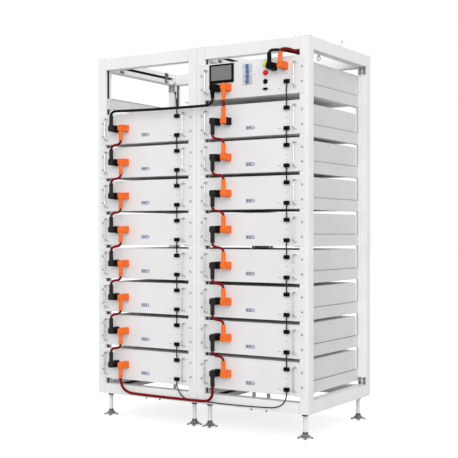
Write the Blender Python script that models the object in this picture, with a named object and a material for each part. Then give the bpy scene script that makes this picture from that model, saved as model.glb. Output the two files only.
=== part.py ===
"""Twin open-frame battery rack: two steel racks of eight modules, and a control box on the right one.

Run it with blender --background --python part.py, or from Blender's text editor.
Units are metres and +Z is up. The origin is on the floor, under the centre of the whole object.
Inside a rack, x is from the rack's centre line, y from the front face of its posts towards the rear,
and z from the underside of its posts. The empties carry those rack frames into the world.
"""

import math

import bmesh
import bpy
from mathutils import Matrix, Vector

# Clearance between pieces that touch on the real object.
GAP = 0.0003
# How far a cutter runs past the face that it opens.
PAST = 0.0050

# Racks.
RACK_PITCH = 0.5207
RACK_WIDTH = 0.5200
RACK_DEPTH = 0.5650
POST_SIZE = 0.0400
POST_HEIGHT = 1.4570
BEAM_HEIGHT = 0.0500
LOWER_CROSS_HEIGHT = 0.0430
POST_SLOT_NEAR = 0.0130
POST_SLOT_FAR = 0.0260
POST_SLOT_DEPTH = 0.0280
POST_SLOT_END = 0.0120
BEAM_SLOT_HEIGHT = 0.0110
BEAM_SLOT_DEPTH = 0.0250
BEAM_SLOT_END = 0.0200
FOOT_PLATE_FRONT = 0.0250
FOOT_PLATE_REAR = 0.0660
FOOT_PLATE_BOTTOM = -0.0030
FOOT_PLATE_TOP = 0.0060

# Levelling feet and lifting eyes.
FOOT_HEIGHT = 0.1000
FOOT_INSET_X = 0.0380
FOOT_INSET_Y = 0.0425
STUD_RADIUS = 0.0080
STUD_BORE_RADIUS = 0.0090
STUD_TOP = 0.0280
FOOT_NUT_RADIUS = 0.0125
FOOT_NUT_TOP = 0.0380
FOOT_NUT_BOTTOM = 0.0260
FOOT_PAD_EDGE = 0.0060
FOOT_PAD_RADIUS = 0.0320
WELD_NUT_RADIUS = 0.0135
WELD_NUT_HEIGHT = 0.0130
EYE_Y = 0.3200
EYE_RING_RADIUS = 0.01375
EYE_WIRE_RADIUS = 0.00425
EYE_CENTRE_HEIGHT = 0.0180
EYE_COLLAR_RADIUS = 0.0105
EYE_COLLAR_HEIGHT = 0.0040

# Support runners, one pair for each level.
RUNNER_THICKNESS = 0.0020
RUNNER_HEIGHT = 0.0470
RUNNER_LEDGE = 0.0260
RUNNER_FRONT = 0.0070
RUNNER_CLEARANCE = 0.0005
RUNNER_STRIP_FRONT = 0.0275
RUNNER_STRIP_WIDTH = 0.0110
BOX_RUNNER_Z = 1.2385

# Battery modules, a three-unit panel on a deep case.
MODULE_COUNT = 8
MODULE_PITCH = 0.1447
TOP_MODULE_Z = 1.1465
PANEL_WIDTH = 0.4826
PANEL_HEIGHT = 0.1305
PANEL_THICKNESS = 0.0020
CASE_WIDTH = 0.4300
CASE_REAR = 0.5130
CASE_BOTTOM = -0.0650
CASE_TOP = 0.0630
SHEET = 0.0020
COVER_LIP = 0.0080
COVER_LIP_FRONT = 0.0200
COVER_LIP_REAR = CASE_REAR - 0.0100

# Plugs and sockets on the fronts.
LEFT_SOCKET_X = -0.1530
RIGHT_SOCKET_X = -0.1010
SOCKET_WIDTH = 0.0270
SOCKET_HEIGHT = 0.0280
SOCKET_REACH = 0.0370
PLUG_REACH = 0.0550
PLUG_RADIUS = 0.0115
PLUG_HEEL = 0.0130
PLUG_LENGTH = 0.0540
SHORT_PLUG_LENGTH = 0.0440
SIGNAL_X = 0.1670
SIGNAL_WIDTH = 0.0220
SIGNAL_HEIGHT = 0.0150
SIGNAL_REACH = 0.0140
UPPER_SIGNAL_Z = 0.0370
LOWER_SIGNAL_Z = -0.0420
HANDLE_X = 0.2050
HANDLE_HEIGHT = 0.0990
HANDLE_REACH = 0.0240
HANDLE_RADIUS = 0.0030

# Inside the opened module.
CELL_ROWS = 2
CELLS_PER_ROW = 8
CELL_WIDTH = 0.1730
CELL_PITCH = 0.0480
CELL_THICKNESS = 0.0465
CELL_HEIGHT = 0.1120
CELL_FRONT = 0.1150
CELL_BASE = 0.0030
CELL_ROW_GAP = 0.0020
BUSBAR_FRAME_THICKNESS = 0.0020
BUSBAR_FRAME_INSET = 0.0040
BUSBAR_THICKNESS = 0.0025
BUSBAR_WIDTH = 0.0240
TERMINAL_SHARES = (0.22, 0.78)
BOARD_FRONT = 0.0850
BOARD_THICKNESS = 0.0020
BOARD_WIDTH = 0.3800
BOARD_BOTTOM = -0.0600
BOARD_TOP = 0.0440
# Each part on the board: x, z, width, height, depth.
BOARD_PARTS = (
    (-0.1300, 0.0000, 0.0800, 0.0600, 0.0220),
    (-0.0300, -0.0200, 0.0500, 0.0300, 0.0120),
    (0.0500, 0.0100, 0.0300, 0.0400, 0.0160),
    (0.1250, -0.0100, 0.0700, 0.0500, 0.0180),
)

# Control box.
BOX_PANEL_Z = 1.3110
BOX_PANEL_HEIGHT = 0.1460
BOX_CASE_BOTTOM = -0.0700
BOX_CASE_TOP = 0.0630
SCREEN_X = -0.1350
SCREEN_Z = 0.0300
SCREEN_WIDTH = 0.1160
SCREEN_HEIGHT = 0.0770
SCREEN_REACH = 0.0080
SCREEN_BACK = 0.0200
SCREEN_MARGIN = 0.0100
BREAKER_X = -0.0145
BREAKER_Z = 0.0185
BREAKER_NOSE_WIDTH = 0.0450
BREAKER_NOSE_HEIGHT = 0.0820
BREAKER_NOSE_REACH = 0.0040
BREAKER_BODY_WIDTH = 0.0800
BREAKER_BODY_REAR = 0.0750
BREAKER_POLES = 4
BREAKER_NOSE_REAR = 0.0120
BREAKER_END_WALL = 0.0008
OPENING_CLEARANCE = 0.0010
HANDLE_HUB_RADIUS = 0.0075
HANDLE_HUB_Y = -0.0020
HANDLE_CLEARANCE = 0.0010
HANDLE_PADDLE_REACH = 0.0165
HANDLE_PADDLE_HALF = 0.0032
HANDLE_PADDLE_HEIGHT = 0.0136
HANDLE_LINK_REACH = 0.0125
HANDLE_LINK_HALF = 0.0020
HANDLE_TILT = math.radians(35.0)
LAMP_X = 0.0690
LAMP_RADIUS = 0.0110
LAMP_REACH = 0.0110
UPPER_LAMP_Z = 0.0520
LOWER_LAMP_Z = 0.0170
BUTTON_Z = -0.0180
BUTTON_RADIUS = 0.0075
BUTTON_BORE_RADIUS = 0.0080
BUTTON_BEZEL_RADIUS = 0.0105
BUTTON_REACH = 0.0080
BUTTON_FLANGE_RADIUS = 0.0095
PORT_Z = -0.0470
PORT_WIDTH = 0.0190
PORT_HEIGHT = 0.0100
PORT_REACH = 0.0058
OUTPUT_SOCKET_Z = 0.0350
LEFT_OUTPUT_X = 0.1100
RIGHT_OUTPUT_X = 0.1590
INPUT_SOCKET_Z = -0.0290
BOX_SIGNAL_Z = -0.0250

# Inside the control box: rectangles are low x, low y, high x, high y.
GEAR_PLATE = (-0.1800, 0.1100, 0.1800, 0.4800)
GEAR_PLATE_THICKNESS = 0.0030
CONTACTOR_XS = (-0.1200, -0.0300, 0.0600)
CONTACTOR_Y = 0.1700
CONTACTOR_RADIUS = 0.0300
CONTACTOR_HEIGHT = 0.0700
FUSE = (-0.1500, 0.2600, -0.0600, 0.3000)
FUSE_HEIGHT = 0.0400
CONTROL_BOARD = (-0.0080, 0.2520, 0.1680, 0.4480)
CONTROL_BOARD_Z = 0.0120
CONTROL_BOARD_THICKNESS = 0.0020
BOARD_PILLAR_INSET = 0.0080
BOARD_PILLAR_RADIUS = 0.0040
PROCESSOR = (0.0400, 0.3000, 0.1000, 0.3600)
PROCESSOR_HEIGHT = 0.0100

# Cables.
POWER_CABLE_DIAMETER = 0.0115
SIGNAL_CABLE_DIAMETER = 0.0045
LEAD_CONNECTOR_SIZE = (0.0220, 0.0450, 0.0120)
LEAD_RUN_END = 0.4680
CABLE_STEP = 2.7
CABLE_STUB = 0.35
CURVE_STEPS = 24

# Distances that follow from the ones above.
PANEL_FRONT = -GAP - PANEL_THICKNESS
PANEL_MIDDLE = -GAP - PANEL_THICKNESS / 2
HALF_WIDTH = RACK_WIDTH / 2
INNER_X = HALF_WIDTH - POST_SIZE
BEAM_TOP_Z = POST_HEIGHT - BEAM_HEIGHT
PLUG_Y = -(PLUG_REACH - PLUG_RADIUS)
FRONT_Y = -(RACK_DEPTH - PLUG_REACH) / 2
FOOT_X = HALF_WIDTH - FOOT_INSET_X
BOTTOM_MODULE_Z = TOP_MODULE_Z - (MODULE_COUNT - 1) * MODULE_PITCH

COLOURS = {
    "white_paint": ((0.86, 0.86, 0.86), 0.45, 0.0),
    "panel_white": ((0.83, 0.83, 0.84), 0.50, 0.0),
    "zinc": ((0.72, 0.73, 0.74), 0.30, 1.0),
    "black_plastic": ((0.02, 0.02, 0.02), 0.45, 0.0),
    "red_cable": ((0.35, 0.01, 0.01), 0.40, 0.0),
    "blue_plastic": ((0.05, 0.16, 0.48), 0.40, 0.0),
    "cell_blue": ((0.07, 0.16, 0.30), 0.45, 0.0),
    "copper": ((0.72, 0.36, 0.20), 0.30, 1.0),
    "board_green": ((0.02, 0.16, 0.06), 0.45, 0.0),
    "grey_plastic": ((0.55, 0.55, 0.56), 0.50, 0.0),
}


def clear_scene():
    """Removes every object that the scene opened with."""
    for existing in list(bpy.data.objects):
        bpy.data.objects.remove(existing, do_unlink=True)


def make_material(name):
    """A Principled material from the COLOURS table."""
    colour, roughness, metallic = COLOURS[name]
    material = bpy.data.materials.new(name)
    material.use_nodes = True
    shader = material.node_tree.nodes["Principled BSDF"]
    shader.inputs["Base Color"].default_value = (*colour, 1.0)
    shader.inputs["Roughness"].default_value = roughness
    shader.inputs["Metallic"].default_value = metallic
    return material


def make_empty(name, location):
    """A named frame that pieces are parented to."""
    empty = bpy.data.objects.new(name, None)
    empty.location = location
    bpy.context.scene.collection.objects.link(empty)
    return empty


def mesh_from(bm, name):
    """Turns a bmesh into a mesh and frees it."""
    mesh = bpy.data.meshes.new(name)
    bm.to_mesh(mesh)
    bm.free()
    return mesh


def box_shape(low, high):
    """A closed box between two opposite corners."""
    low, high = Vector(low), Vector(high)
    bm = bmesh.new()
    matrix = Matrix.LocRotScale((low + high) / 2, None, high - low)
    bmesh.ops.create_cube(bm, size=1.0, matrix=matrix)
    return mesh_from(bm, "box")


def rod_shape(start, end, radius, sides=12):
    """A closed rod from one point to another."""
    start, end = Vector(start), Vector(end)
    direction = end - start
    turn = Vector((0, 0, 1)).rotation_difference(direction)
    bm = bmesh.new()
    bmesh.ops.create_cone(
        bm,
        cap_ends=True,
        segments=sides,
        radius1=radius,
        radius2=radius,
        depth=direction.length,
        matrix=Matrix.LocRotScale((start + end) / 2, turn, None),
    )
    return mesh_from(bm, "rod")


def turned_shape(profile, sides=12):
    """A solid of revolution about Z from (radius, z) points that start and end on the axis."""
    bm = bmesh.new()
    bottom = bm.verts.new((0, 0, profile[0][1]))
    top = bm.verts.new((0, 0, profile[-1][1]))
    angles = [2 * math.pi * step / sides for step in range(sides)]
    rings = [
        [bm.verts.new((radius * math.cos(a), radius * math.sin(a), z)) for a in angles]
        for radius, z in profile[1:-1]
    ]
    for side in range(sides):
        after = (side + 1) % sides
        bm.faces.new((bottom, rings[0][after], rings[0][side]))
        bm.faces.new((top, rings[-1][side], rings[-1][after]))
        for lower, upper in zip(rings, rings[1:]):
            bm.faces.new((lower[side], lower[after], upper[after], upper[side]))
    return mesh_from(bm, "turned")


def ring_shape(centre, ring_radius, wire_radius, ring_sides=16, wire_sides=6):
    """A torus that stands in the YZ plane."""
    bm = bmesh.new()
    loops = []
    for step in range(ring_sides):
        around = 2 * math.pi * step / ring_sides
        outward = Vector((0, math.cos(around), math.sin(around)))
        loop = []
        for wire_step in range(wire_sides):
            angle = 2 * math.pi * wire_step / wire_sides
            offset = outward * (ring_radius + wire_radius * math.cos(angle))
            offset.x = wire_radius * math.sin(angle)
            loop.append(bm.verts.new(Vector(centre) + offset))
        loops.append(loop)
    for step, loop in enumerate(loops):
        following = loops[(step + 1) % ring_sides]
        for side in range(wire_sides):
            after = (side + 1) % wire_sides
            bm.faces.new((loop[side], following[side], following[after], loop[after]))
    bmesh.ops.recalc_face_normals(bm, faces=bm.faces)
    return mesh_from(bm, "ring")


def handle_shape(x, z, height):
    """A thin bar bent to a U that stands out from a front panel."""
    low, high = z - height / 2, z + height / 2
    foot_y, bar_y = -PANEL_THICKNESS, -HANDLE_REACH
    reach = (0, HANDLE_RADIUS, 0)
    shapes = [rod_shape((x, bar_y, low), (x, bar_y, high), HANDLE_RADIUS, 8)]
    for level in (low + HANDLE_RADIUS, high - HANDLE_RADIUS):
        start = Vector((x, foot_y, level)) + Vector(reach) / 4
        shapes.append(rod_shape(start, (x, bar_y, level), HANDLE_RADIUS * 0.95, 8))
    return shapes


def combine(base, others, operation):
    """The mesh left after the others are joined to the base, or are cut from it."""
    collection = bpy.context.scene.collection
    body = bpy.data.objects.new("combine_body", base)
    collection.objects.link(body)
    tools = []
    for mesh in others:
        tool = bpy.data.objects.new("combine_tool", mesh)
        collection.objects.link(tool)
        tools.append(tool)
        modifier = body.modifiers.new("combine", "BOOLEAN")
        modifier.operation = operation
        modifier.solver = "EXACT"
        modifier.object = tool
    evaluated = body.evaluated_get(bpy.context.evaluated_depsgraph_get())
    result = bpy.data.meshes.new_from_object(evaluated)
    for helper in [body, *tools]:
        bpy.data.objects.remove(helper, do_unlink=True)
    return result


def join(shapes):
    """One closed mesh from shapes that overlap."""
    return combine(shapes[0], shapes[1:], "UNION")


def cut(base, cutters):
    """The base mesh with the cutters taken out of it."""
    return combine(base, cutters, "DIFFERENCE")


def mirrored(mesh, axis, about=0.0):
    """A copy of a mesh reflected in the plane where that axis has the value about."""
    bm = bmesh.new()
    bm.from_mesh(mesh)
    direction = Vector([float(axis == name) for name in "xyz"])
    flip = Matrix.Translation(2 * about * direction) @ Matrix.Scale(-1, 4, direction)
    bmesh.ops.transform(bm, matrix=flip, verts=bm.verts)
    bmesh.ops.reverse_faces(bm, faces=bm.faces)
    return mesh_from(bm, mesh.name)


def place(name, mesh, parent, material, location=(0, 0, 0)):
    """A named piece in its parent's frame."""
    if not mesh.materials:
        mesh.materials.append(material)
    mesh.shade_smooth()
    mesh.set_sharp_from_angle(angle=math.radians(35))
    piece = bpy.data.objects.new(name, mesh)
    piece.parent = parent
    piece.location = location
    bpy.context.scene.collection.objects.link(piece)
    return piece


# Rack frame.


def mirrored_box(low, high, side):
    """A box given for the right-hand side (+1), or its reflection on the left-hand side (-1)."""
    xs = sorted((side * low[0], side * high[0]))
    return box_shape((xs[0], *low[1:]), (xs[1], *high[1:]))


def portal_mesh():
    """The front pair of posts with their top and bottom beams, welded into one portal."""
    outer = box_shape((-HALF_WIDTH, 0, 0), (HALF_WIDTH, POST_SIZE, POST_HEIGHT))
    window_low = (-INNER_X, -PAST, LOWER_CROSS_HEIGHT)
    window = box_shape(window_low, (INNER_X, POST_SIZE + PAST, BEAM_TOP_Z))
    slot_low = (INNER_X - PAST, POST_SLOT_NEAR, BEAM_HEIGHT + POST_SLOT_END)
    slot_high = (INNER_X + POST_SLOT_DEPTH, POST_SLOT_FAR, BEAM_TOP_Z - POST_SLOT_END)
    plate_low = (FOOT_X - STUD_RADIUS - 0.0140, FOOT_PLATE_FRONT, FOOT_PLATE_BOTTOM)
    plate_high = (INNER_X - GAP, FOOT_PLATE_REAR, FOOT_PLATE_TOP)
    slots, plates, bores = [], [], []
    for side in (-1, 1):
        slots.append(mirrored_box(slot_low, slot_high, side))
        plates.append(mirrored_box(plate_low, plate_high, side))
        foot = Vector((side * FOOT_X, FOOT_INSET_Y, 0))
        nut_bottom = foot - Vector((0, 0, WELD_NUT_HEIGHT))
        plates.append(rod_shape(nut_bottom, foot - Vector((0, 0, GAP)), WELD_NUT_RADIUS, 6))
        bore_top = foot + Vector((0, 0, BEAM_HEIGHT + PAST))
        bores.append(rod_shape(nut_bottom - Vector((0, 0, PAST)), bore_top, STUD_BORE_RADIUS))
    portal = cut(outer, [window, *slots])
    return cut(join([portal, *plates]), bores)


def side_beam_limits(low_z):
    """Opposite corners of the right-hand side beam whose underside is at low_z."""
    low = (INNER_X, POST_SIZE + GAP, low_z)
    high = (HALF_WIDTH, RACK_DEPTH - POST_SIZE - GAP, low_z + BEAM_HEIGHT)
    return low, high


def side_beam_with_slot(low_z):
    """A right-hand side beam with a cable slot half-way up its inner face."""
    middle_z = low_z + BEAM_HEIGHT / 2
    slot_front = POST_SIZE + BEAM_SLOT_END
    slot_low = (INNER_X - PAST, slot_front, middle_z - BEAM_SLOT_HEIGHT / 2)
    slot_high = (INNER_X + BEAM_SLOT_DEPTH, RACK_DEPTH - slot_front, middle_z + BEAM_SLOT_HEIGHT / 2)
    return cut(box_shape(*side_beam_limits(low_z)), [box_shape(slot_low, slot_high)])


def top_beam_mesh():
    """The right-hand top side beam, with its cable slot and a lifting eye."""
    centre = Vector((HALF_WIDTH - POST_SIZE / 2, EYE_Y, POST_HEIGHT + EYE_CENTRE_HEIGHT))
    foot = Vector((centre.x, centre.y, POST_HEIGHT))
    rise = Vector((0, 0, EYE_COLLAR_HEIGHT))
    collar = rod_shape(foot - rise, foot + rise, EYE_COLLAR_RADIUS)
    ring = ring_shape(centre, EYE_RING_RADIUS, EYE_WIRE_RADIUS)
    return join([side_beam_with_slot(BEAM_TOP_Z), collar, ring])


def bottom_beam_mesh():
    """The right-hand bottom side beam, with its cable slot, notched for the foot studs."""
    notches = [
        rod_shape((FOOT_X, y, -PAST), (FOOT_X, y, BEAM_HEIGHT + PAST), STUD_BORE_RADIUS)
        for y in (FOOT_INSET_Y, RACK_DEPTH - FOOT_INSET_Y)
    ]
    return cut(side_beam_with_slot(0), notches)


def angle_shape(outer_x, y_start, y_end, z, width, height, thickness):
    """An L-section bar along Y: its upright is at outer_x and its ledge points to the centre."""
    outline = [
        (outer_x - width, z),
        (outer_x, z),
        (outer_x, z + height),
        (outer_x - thickness, z + height),
        (outer_x - thickness, z + thickness),
        (outer_x - width, z + thickness),
    ]
    bm = bmesh.new()
    near = [bm.verts.new((x, y_start, level)) for x, level in outline]
    far = [bm.verts.new((x, y_end, level)) for x, level in outline]
    bm.faces.new(near)
    bm.faces.new(reversed(far))
    for corner in range(len(outline)):
        after = (corner + 1) % len(outline)
        bm.faces.new((near[after], near[corner], far[corner], far[after]))
    return mesh_from(bm, "angle")


def runner_levels():
    """The underside of each support runner, the control box's level first."""
    first = TOP_MODULE_Z + CASE_BOTTOM - RUNNER_THICKNESS - RUNNER_CLEARANCE
    return [BOX_RUNNER_Z, *[first - i * MODULE_PITCH for i in range(MODULE_COUNT)]]


def runner_ladder_mesh():
    """The right-hand support runners of one rack, joined by their two mounting strips."""
    levels = runner_levels()
    outer_x = INNER_X - GAP
    strip_inset = RUNNER_THICKNESS / 4
    strip_low_x = outer_x - RUNNER_THICKNESS + strip_inset
    strip_rear_front = RACK_DEPTH - RUNNER_STRIP_FRONT - RUNNER_STRIP_WIDTH
    shapes = []
    for strip_front in (RUNNER_STRIP_FRONT, strip_rear_front):
        low = (strip_low_x, strip_front, levels[-1] + strip_inset)
        high = (
            outer_x - strip_inset,
            strip_front + RUNNER_STRIP_WIDTH,
            levels[0] + RUNNER_HEIGHT - strip_inset,
        )
        shapes.append(box_shape(low, high))
    for z in levels:
        shapes.append(
            angle_shape(
                outer_x,
                RUNNER_FRONT,
                RACK_DEPTH - RUNNER_FRONT,
                z,
                RUNNER_LEDGE,
                RUNNER_HEIGHT,
                RUNNER_THICKNESS,
            )
        )
    return join(shapes)


def foot_mesh():
    """A levelling foot: stud, hexagon and round pad turned as one."""
    nut_top = -FOOT_HEIGHT + FOOT_NUT_TOP
    return turned_shape(
        [
            (0, -FOOT_HEIGHT),
            (FOOT_PAD_RADIUS, -FOOT_HEIGHT),
            (FOOT_PAD_RADIUS, -FOOT_HEIGHT + FOOT_PAD_EDGE),
            (FOOT_NUT_RADIUS, -FOOT_HEIGHT + FOOT_NUT_BOTTOM),
            (FOOT_NUT_RADIUS, nut_top),
            (STUD_RADIUS, nut_top),
            (STUD_RADIUS, STUD_TOP),
            (0, STUD_TOP),
        ]
    )


def build_rack_frame(side_name, rack, materials):
    """The posts, beams, runners and feet of one rack."""
    white, zinc = materials["white_paint"], materials["zinc"]
    front, top, bottom, ladder = portal_mesh(), top_beam_mesh(), bottom_beam_mesh(), runner_ladder_mesh()
    rear = mirrored(front, "y", RACK_DEPTH / 2)
    place(f"{side_name}_front_frame", front, rack, white)
    place(f"{side_name}_rear_frame", rear, rack, white)
    place(f"{side_name}_top_right_beam", top, rack, white)
    place(f"{side_name}_top_left_beam", mirrored(top, "x"), rack, white)
    place(f"{side_name}_bottom_right_beam", bottom, rack, white)
    place(f"{side_name}_bottom_left_beam", mirrored(bottom, "x"), rack, white)
    place(f"{side_name}_right_runners", ladder, rack, white)
    place(f"{side_name}_left_runners", mirrored(ladder, "x"), rack, white)
    foot = foot_mesh()
    for end, y in (("front", FOOT_INSET_Y), ("rear", RACK_DEPTH - FOOT_INSET_Y)):
        for hand, x in (("left", -FOOT_X), ("right", FOOT_X)):
            place(f"{side_name}_{end}_{hand}_foot", foot, rack, zinc, (x, y, 0))


# Battery modules.


def panel_plate(height, z=0.0):
    """The flat front panel of a three-unit chassis, just in front of the posts."""
    half = PANEL_WIDTH / 2
    return box_shape((-half, PANEL_FRONT, z - height / 2), (half, -GAP, z + height / 2))


def socket_with_plug(x, z, direction, length=PLUG_LENGTH):
    """A power socket block and the right-angle plug that is pushed onto it."""
    block = box_shape(
        (x - SOCKET_WIDTH / 2, -SOCKET_REACH, z - SOCKET_HEIGHT / 2),
        (x + SOCKET_WIDTH / 2, PANEL_MIDDLE, z + SOCKET_HEIGHT / 2),
    )
    heel = (x, PLUG_Y, z - direction * PLUG_HEEL)
    shroud = rod_shape(heel, (x, PLUG_Y, z + direction * length), PLUG_RADIUS)
    return [block, shroud]


def signal_connector(z):
    """A small signal plug in its socket."""
    low = (SIGNAL_X - SIGNAL_WIDTH / 2, -SIGNAL_REACH, z - SIGNAL_HEIGHT / 2)
    high = (SIGNAL_X + SIGNAL_WIDTH / 2, PANEL_MIDDLE, z + SIGNAL_HEIGHT / 2)
    return box_shape(low, high)


def module_front_shapes(left_direction):
    """What stands on a module's front. The left plug points up (+1) or down (-1), the right one away."""
    return [
        panel_plate(PANEL_HEIGHT),
        *socket_with_plug(LEFT_SOCKET_X, 0, left_direction),
        *socket_with_plug(RIGHT_SOCKET_X, 0, -left_direction),
        signal_connector(UPPER_SIGNAL_Z),
        signal_connector(LOWER_SIGNAL_Z),
    ]


def module_mesh(left_direction):
    """A closed module: case, panel, sockets and plugs in one body."""
    case = box_shape(
        (-CASE_WIDTH / 2, PANEL_MIDDLE, CASE_BOTTOM),
        (CASE_WIDTH / 2, CASE_REAR, CASE_TOP),
    )
    return join([case, *module_front_shapes(left_direction)])


def tray_mesh(bottom, top):
    """A sheet-metal tray, open at the top and at the front."""
    half = CASE_WIDTH / 2
    inner = half - SHEET
    outer = box_shape((-half, GAP, bottom), (half, CASE_REAR, top))
    inside = box_shape((-inner, -PAST, bottom + SHEET), (inner, CASE_REAR - SHEET, top + PAST))
    return cut(outer, [inside])


def cover_mesh(top):
    """A flat cover with two lips that drop inside the tray."""
    half = CASE_WIDTH / 2
    lip_outer = half - SHEET - GAP
    lip_low = (lip_outer - SHEET, COVER_LIP_FRONT, top - SHEET - COVER_LIP)
    lip_high = (lip_outer, COVER_LIP_REAR, top - SHEET / 2)
    lips = [mirrored_box(lip_low, lip_high, side) for side in (-1, 1)]
    return join([box_shape((-half, GAP, top - SHEET), (half, CASE_REAR, top)), *lips])


def cell_block_mesh(floor):
    """Two rows of prismatic cells on their base plate."""
    row_pitch = CELL_WIDTH + CELL_ROW_GAP
    half = CELL_ROWS * row_pitch / 2
    base_low = (-half, CELL_FRONT - CELL_ROW_GAP / 2, floor)
    base_high = (half, CELL_FRONT + CELLS_PER_ROW * CELL_PITCH, floor + CELL_BASE * 1.3)
    shapes = [box_shape(base_low, base_high)]
    for row in range(CELL_ROWS):
        x = -half + CELL_ROW_GAP / 2 + row * row_pitch
        for cell in range(CELLS_PER_ROW):
            y = CELL_FRONT + cell * CELL_PITCH
            low = (x, y, floor + CELL_BASE)
            high = (x + CELL_WIDTH, y + CELL_THICKNESS, floor + CELL_BASE + CELL_HEIGHT)
            shapes.append(box_shape(low, high))
    return join(shapes)


def busbar_frame_mesh(bottom):
    """The insulating frame on the cells, with busbars that join the cells of a row in series."""
    half = CELL_ROWS * CELL_WIDTH / 2
    front = CELL_FRONT + BUSBAR_FRAME_INSET
    rear = CELL_FRONT + CELLS_PER_ROW * CELL_PITCH - BUSBAR_FRAME_INSET
    plate_top = bottom + BUSBAR_FRAME_THICKNESS
    shapes = [box_shape((-half, front, bottom), (half, rear, plate_top))]
    for row in range(CELL_ROWS):
        for first_cell, share in enumerate(TERMINAL_SHARES):
            x = -half + (row + share) * CELL_WIDTH
            for cell in range(first_cell, CELLS_PER_ROW - 1, 2):
                y = CELL_FRONT + (cell + 0.25) * CELL_PITCH
                low = (x - BUSBAR_WIDTH / 2, y, plate_top - BUSBAR_FRAME_THICKNESS / 4)
                high = (x + BUSBAR_WIDTH / 2, y + 1.45 * CELL_PITCH, plate_top + BUSBAR_THICKNESS)
                shapes.append(box_shape(low, high))
    return join(shapes)


def battery_board_mesh():
    """The upright battery management board behind the front panel, parts facing forwards."""
    half = BOARD_WIDTH / 2
    rear = BOARD_FRONT + BOARD_THICKNESS
    shapes = [box_shape((-half, BOARD_FRONT, BOARD_BOTTOM), (half, rear, BOARD_TOP))]
    for x, z, width, height, depth in BOARD_PARTS:
        low = (x - width / 2, BOARD_FRONT - depth, z - height / 2)
        high = (x + width / 2, BOARD_FRONT + BOARD_THICKNESS / 2, z + height / 2)
        shapes.append(box_shape(low, high))
    return join(shapes)


def build_opened_module(name, rack, z, materials):
    """The top left module as its separate pieces, inner ones included."""
    spot = (0, 0, z)
    fronts = module_front_shapes(1)
    handles = handle_shape(-HANDLE_X, 0, HANDLE_HEIGHT) + handle_shape(HANDLE_X, 0, HANDLE_HEIGHT)
    tray = tray_mesh(CASE_BOTTOM, CASE_TOP - SHEET - GAP)
    floor = CASE_BOTTOM + SHEET + GAP
    cells_top = floor + CELL_BASE + CELL_HEIGHT
    place(f"{name}_case", tray, rack, materials["white_paint"], spot)
    place(f"{name}_cover", cover_mesh(CASE_TOP), rack, materials["white_paint"], spot)
    place(f"{name}_front_panel", join(fronts + handles), rack, materials["panel_white"], spot)
    place(f"{name}_cell_block", cell_block_mesh(floor), rack, materials["cell_blue"], spot)
    place(f"{name}_busbars", busbar_frame_mesh(cells_top + GAP), rack, materials["copper"], spot)
    place(f"{name}_battery_board", battery_board_mesh(), rack, materials["board_green"], spot)


def build_modules(side_name, rack, left_direction, materials):
    """The eight modules of one rack, numbered from the top."""
    closed = module_mesh(left_direction)
    for number in range(1, MODULE_COUNT + 1):
        z = TOP_MODULE_Z - (number - 1) * MODULE_PITCH
        name = f"{side_name}_module_{number}"
        if side_name == "left" and number == 1:
            build_opened_module(name, rack, z, materials)
        else:
            place(name, closed, rack, materials["panel_white"], (0, 0, z))


# Control box.


def lamp_shape(z):
    """A round indicator lamp on the control box's panel."""
    return rod_shape((LAMP_X, PANEL_MIDDLE, z), (LAMP_X, -LAMP_REACH, z), LAMP_RADIUS)


def panel_opening(x, z, width, height):
    """A cutter for a rectangular hole through the front panel."""
    low = (x - width / 2, PANEL_FRONT - PAST, z - height / 2)
    return box_shape(low, (x + width / 2, PAST, z + height / 2))


def box_panel_mesh():
    """The control box's front panel with its handles, lamps, sockets and plugs."""
    button = (LAMP_X, PANEL_MIDDLE, BUTTON_Z)
    bezel_front = (LAMP_X, PANEL_FRONT - 0.0020, BUTTON_Z)
    port_low = (LAMP_X - PORT_WIDTH / 2, -PORT_REACH, PORT_Z - PORT_HEIGHT / 2)
    port_high = (LAMP_X + PORT_WIDTH / 2, PANEL_MIDDLE, PORT_Z + PORT_HEIGHT / 2)
    shapes = [
        panel_plate(BOX_PANEL_HEIGHT),
        *handle_shape(-HANDLE_X, 0, HANDLE_HEIGHT),
        *handle_shape(HANDLE_X, 0, HANDLE_HEIGHT),
        *socket_with_plug(LEFT_SOCKET_X, INPUT_SOCKET_Z, -1, SHORT_PLUG_LENGTH),
        *socket_with_plug(RIGHT_SOCKET_X, INPUT_SOCKET_Z, -1),
        *socket_with_plug(LEFT_OUTPUT_X, OUTPUT_SOCKET_Z, 1, SHORT_PLUG_LENGTH),
        *socket_with_plug(RIGHT_OUTPUT_X, OUTPUT_SOCKET_Z, 1, SHORT_PLUG_LENGTH),
        signal_connector(BOX_SIGNAL_Z),
        lamp_shape(UPPER_LAMP_Z),
        lamp_shape(LOWER_LAMP_Z),
        rod_shape(button, bezel_front, BUTTON_BEZEL_RADIUS),
        box_shape(port_low, port_high),
    ]
    screen_width = SCREEN_WIDTH - 2 * SCREEN_MARGIN + OPENING_CLEARANCE
    screen_height = SCREEN_HEIGHT - 2 * SCREEN_MARGIN + OPENING_CLEARANCE
    nose_width = BREAKER_NOSE_WIDTH + OPENING_CLEARANCE
    nose_height = BREAKER_NOSE_HEIGHT + OPENING_CLEARANCE
    button_front = (LAMP_X, bezel_front[1] - PAST, BUTTON_Z)
    openings = [
        panel_opening(SCREEN_X, SCREEN_Z, screen_width, screen_height),
        panel_opening(BREAKER_X, BREAKER_Z, nose_width, nose_height),
        rod_shape(button_front, (LAMP_X, PAST, BUTTON_Z), BUTTON_BORE_RADIUS, 24),
    ]
    return cut(join(shapes), openings)


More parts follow.
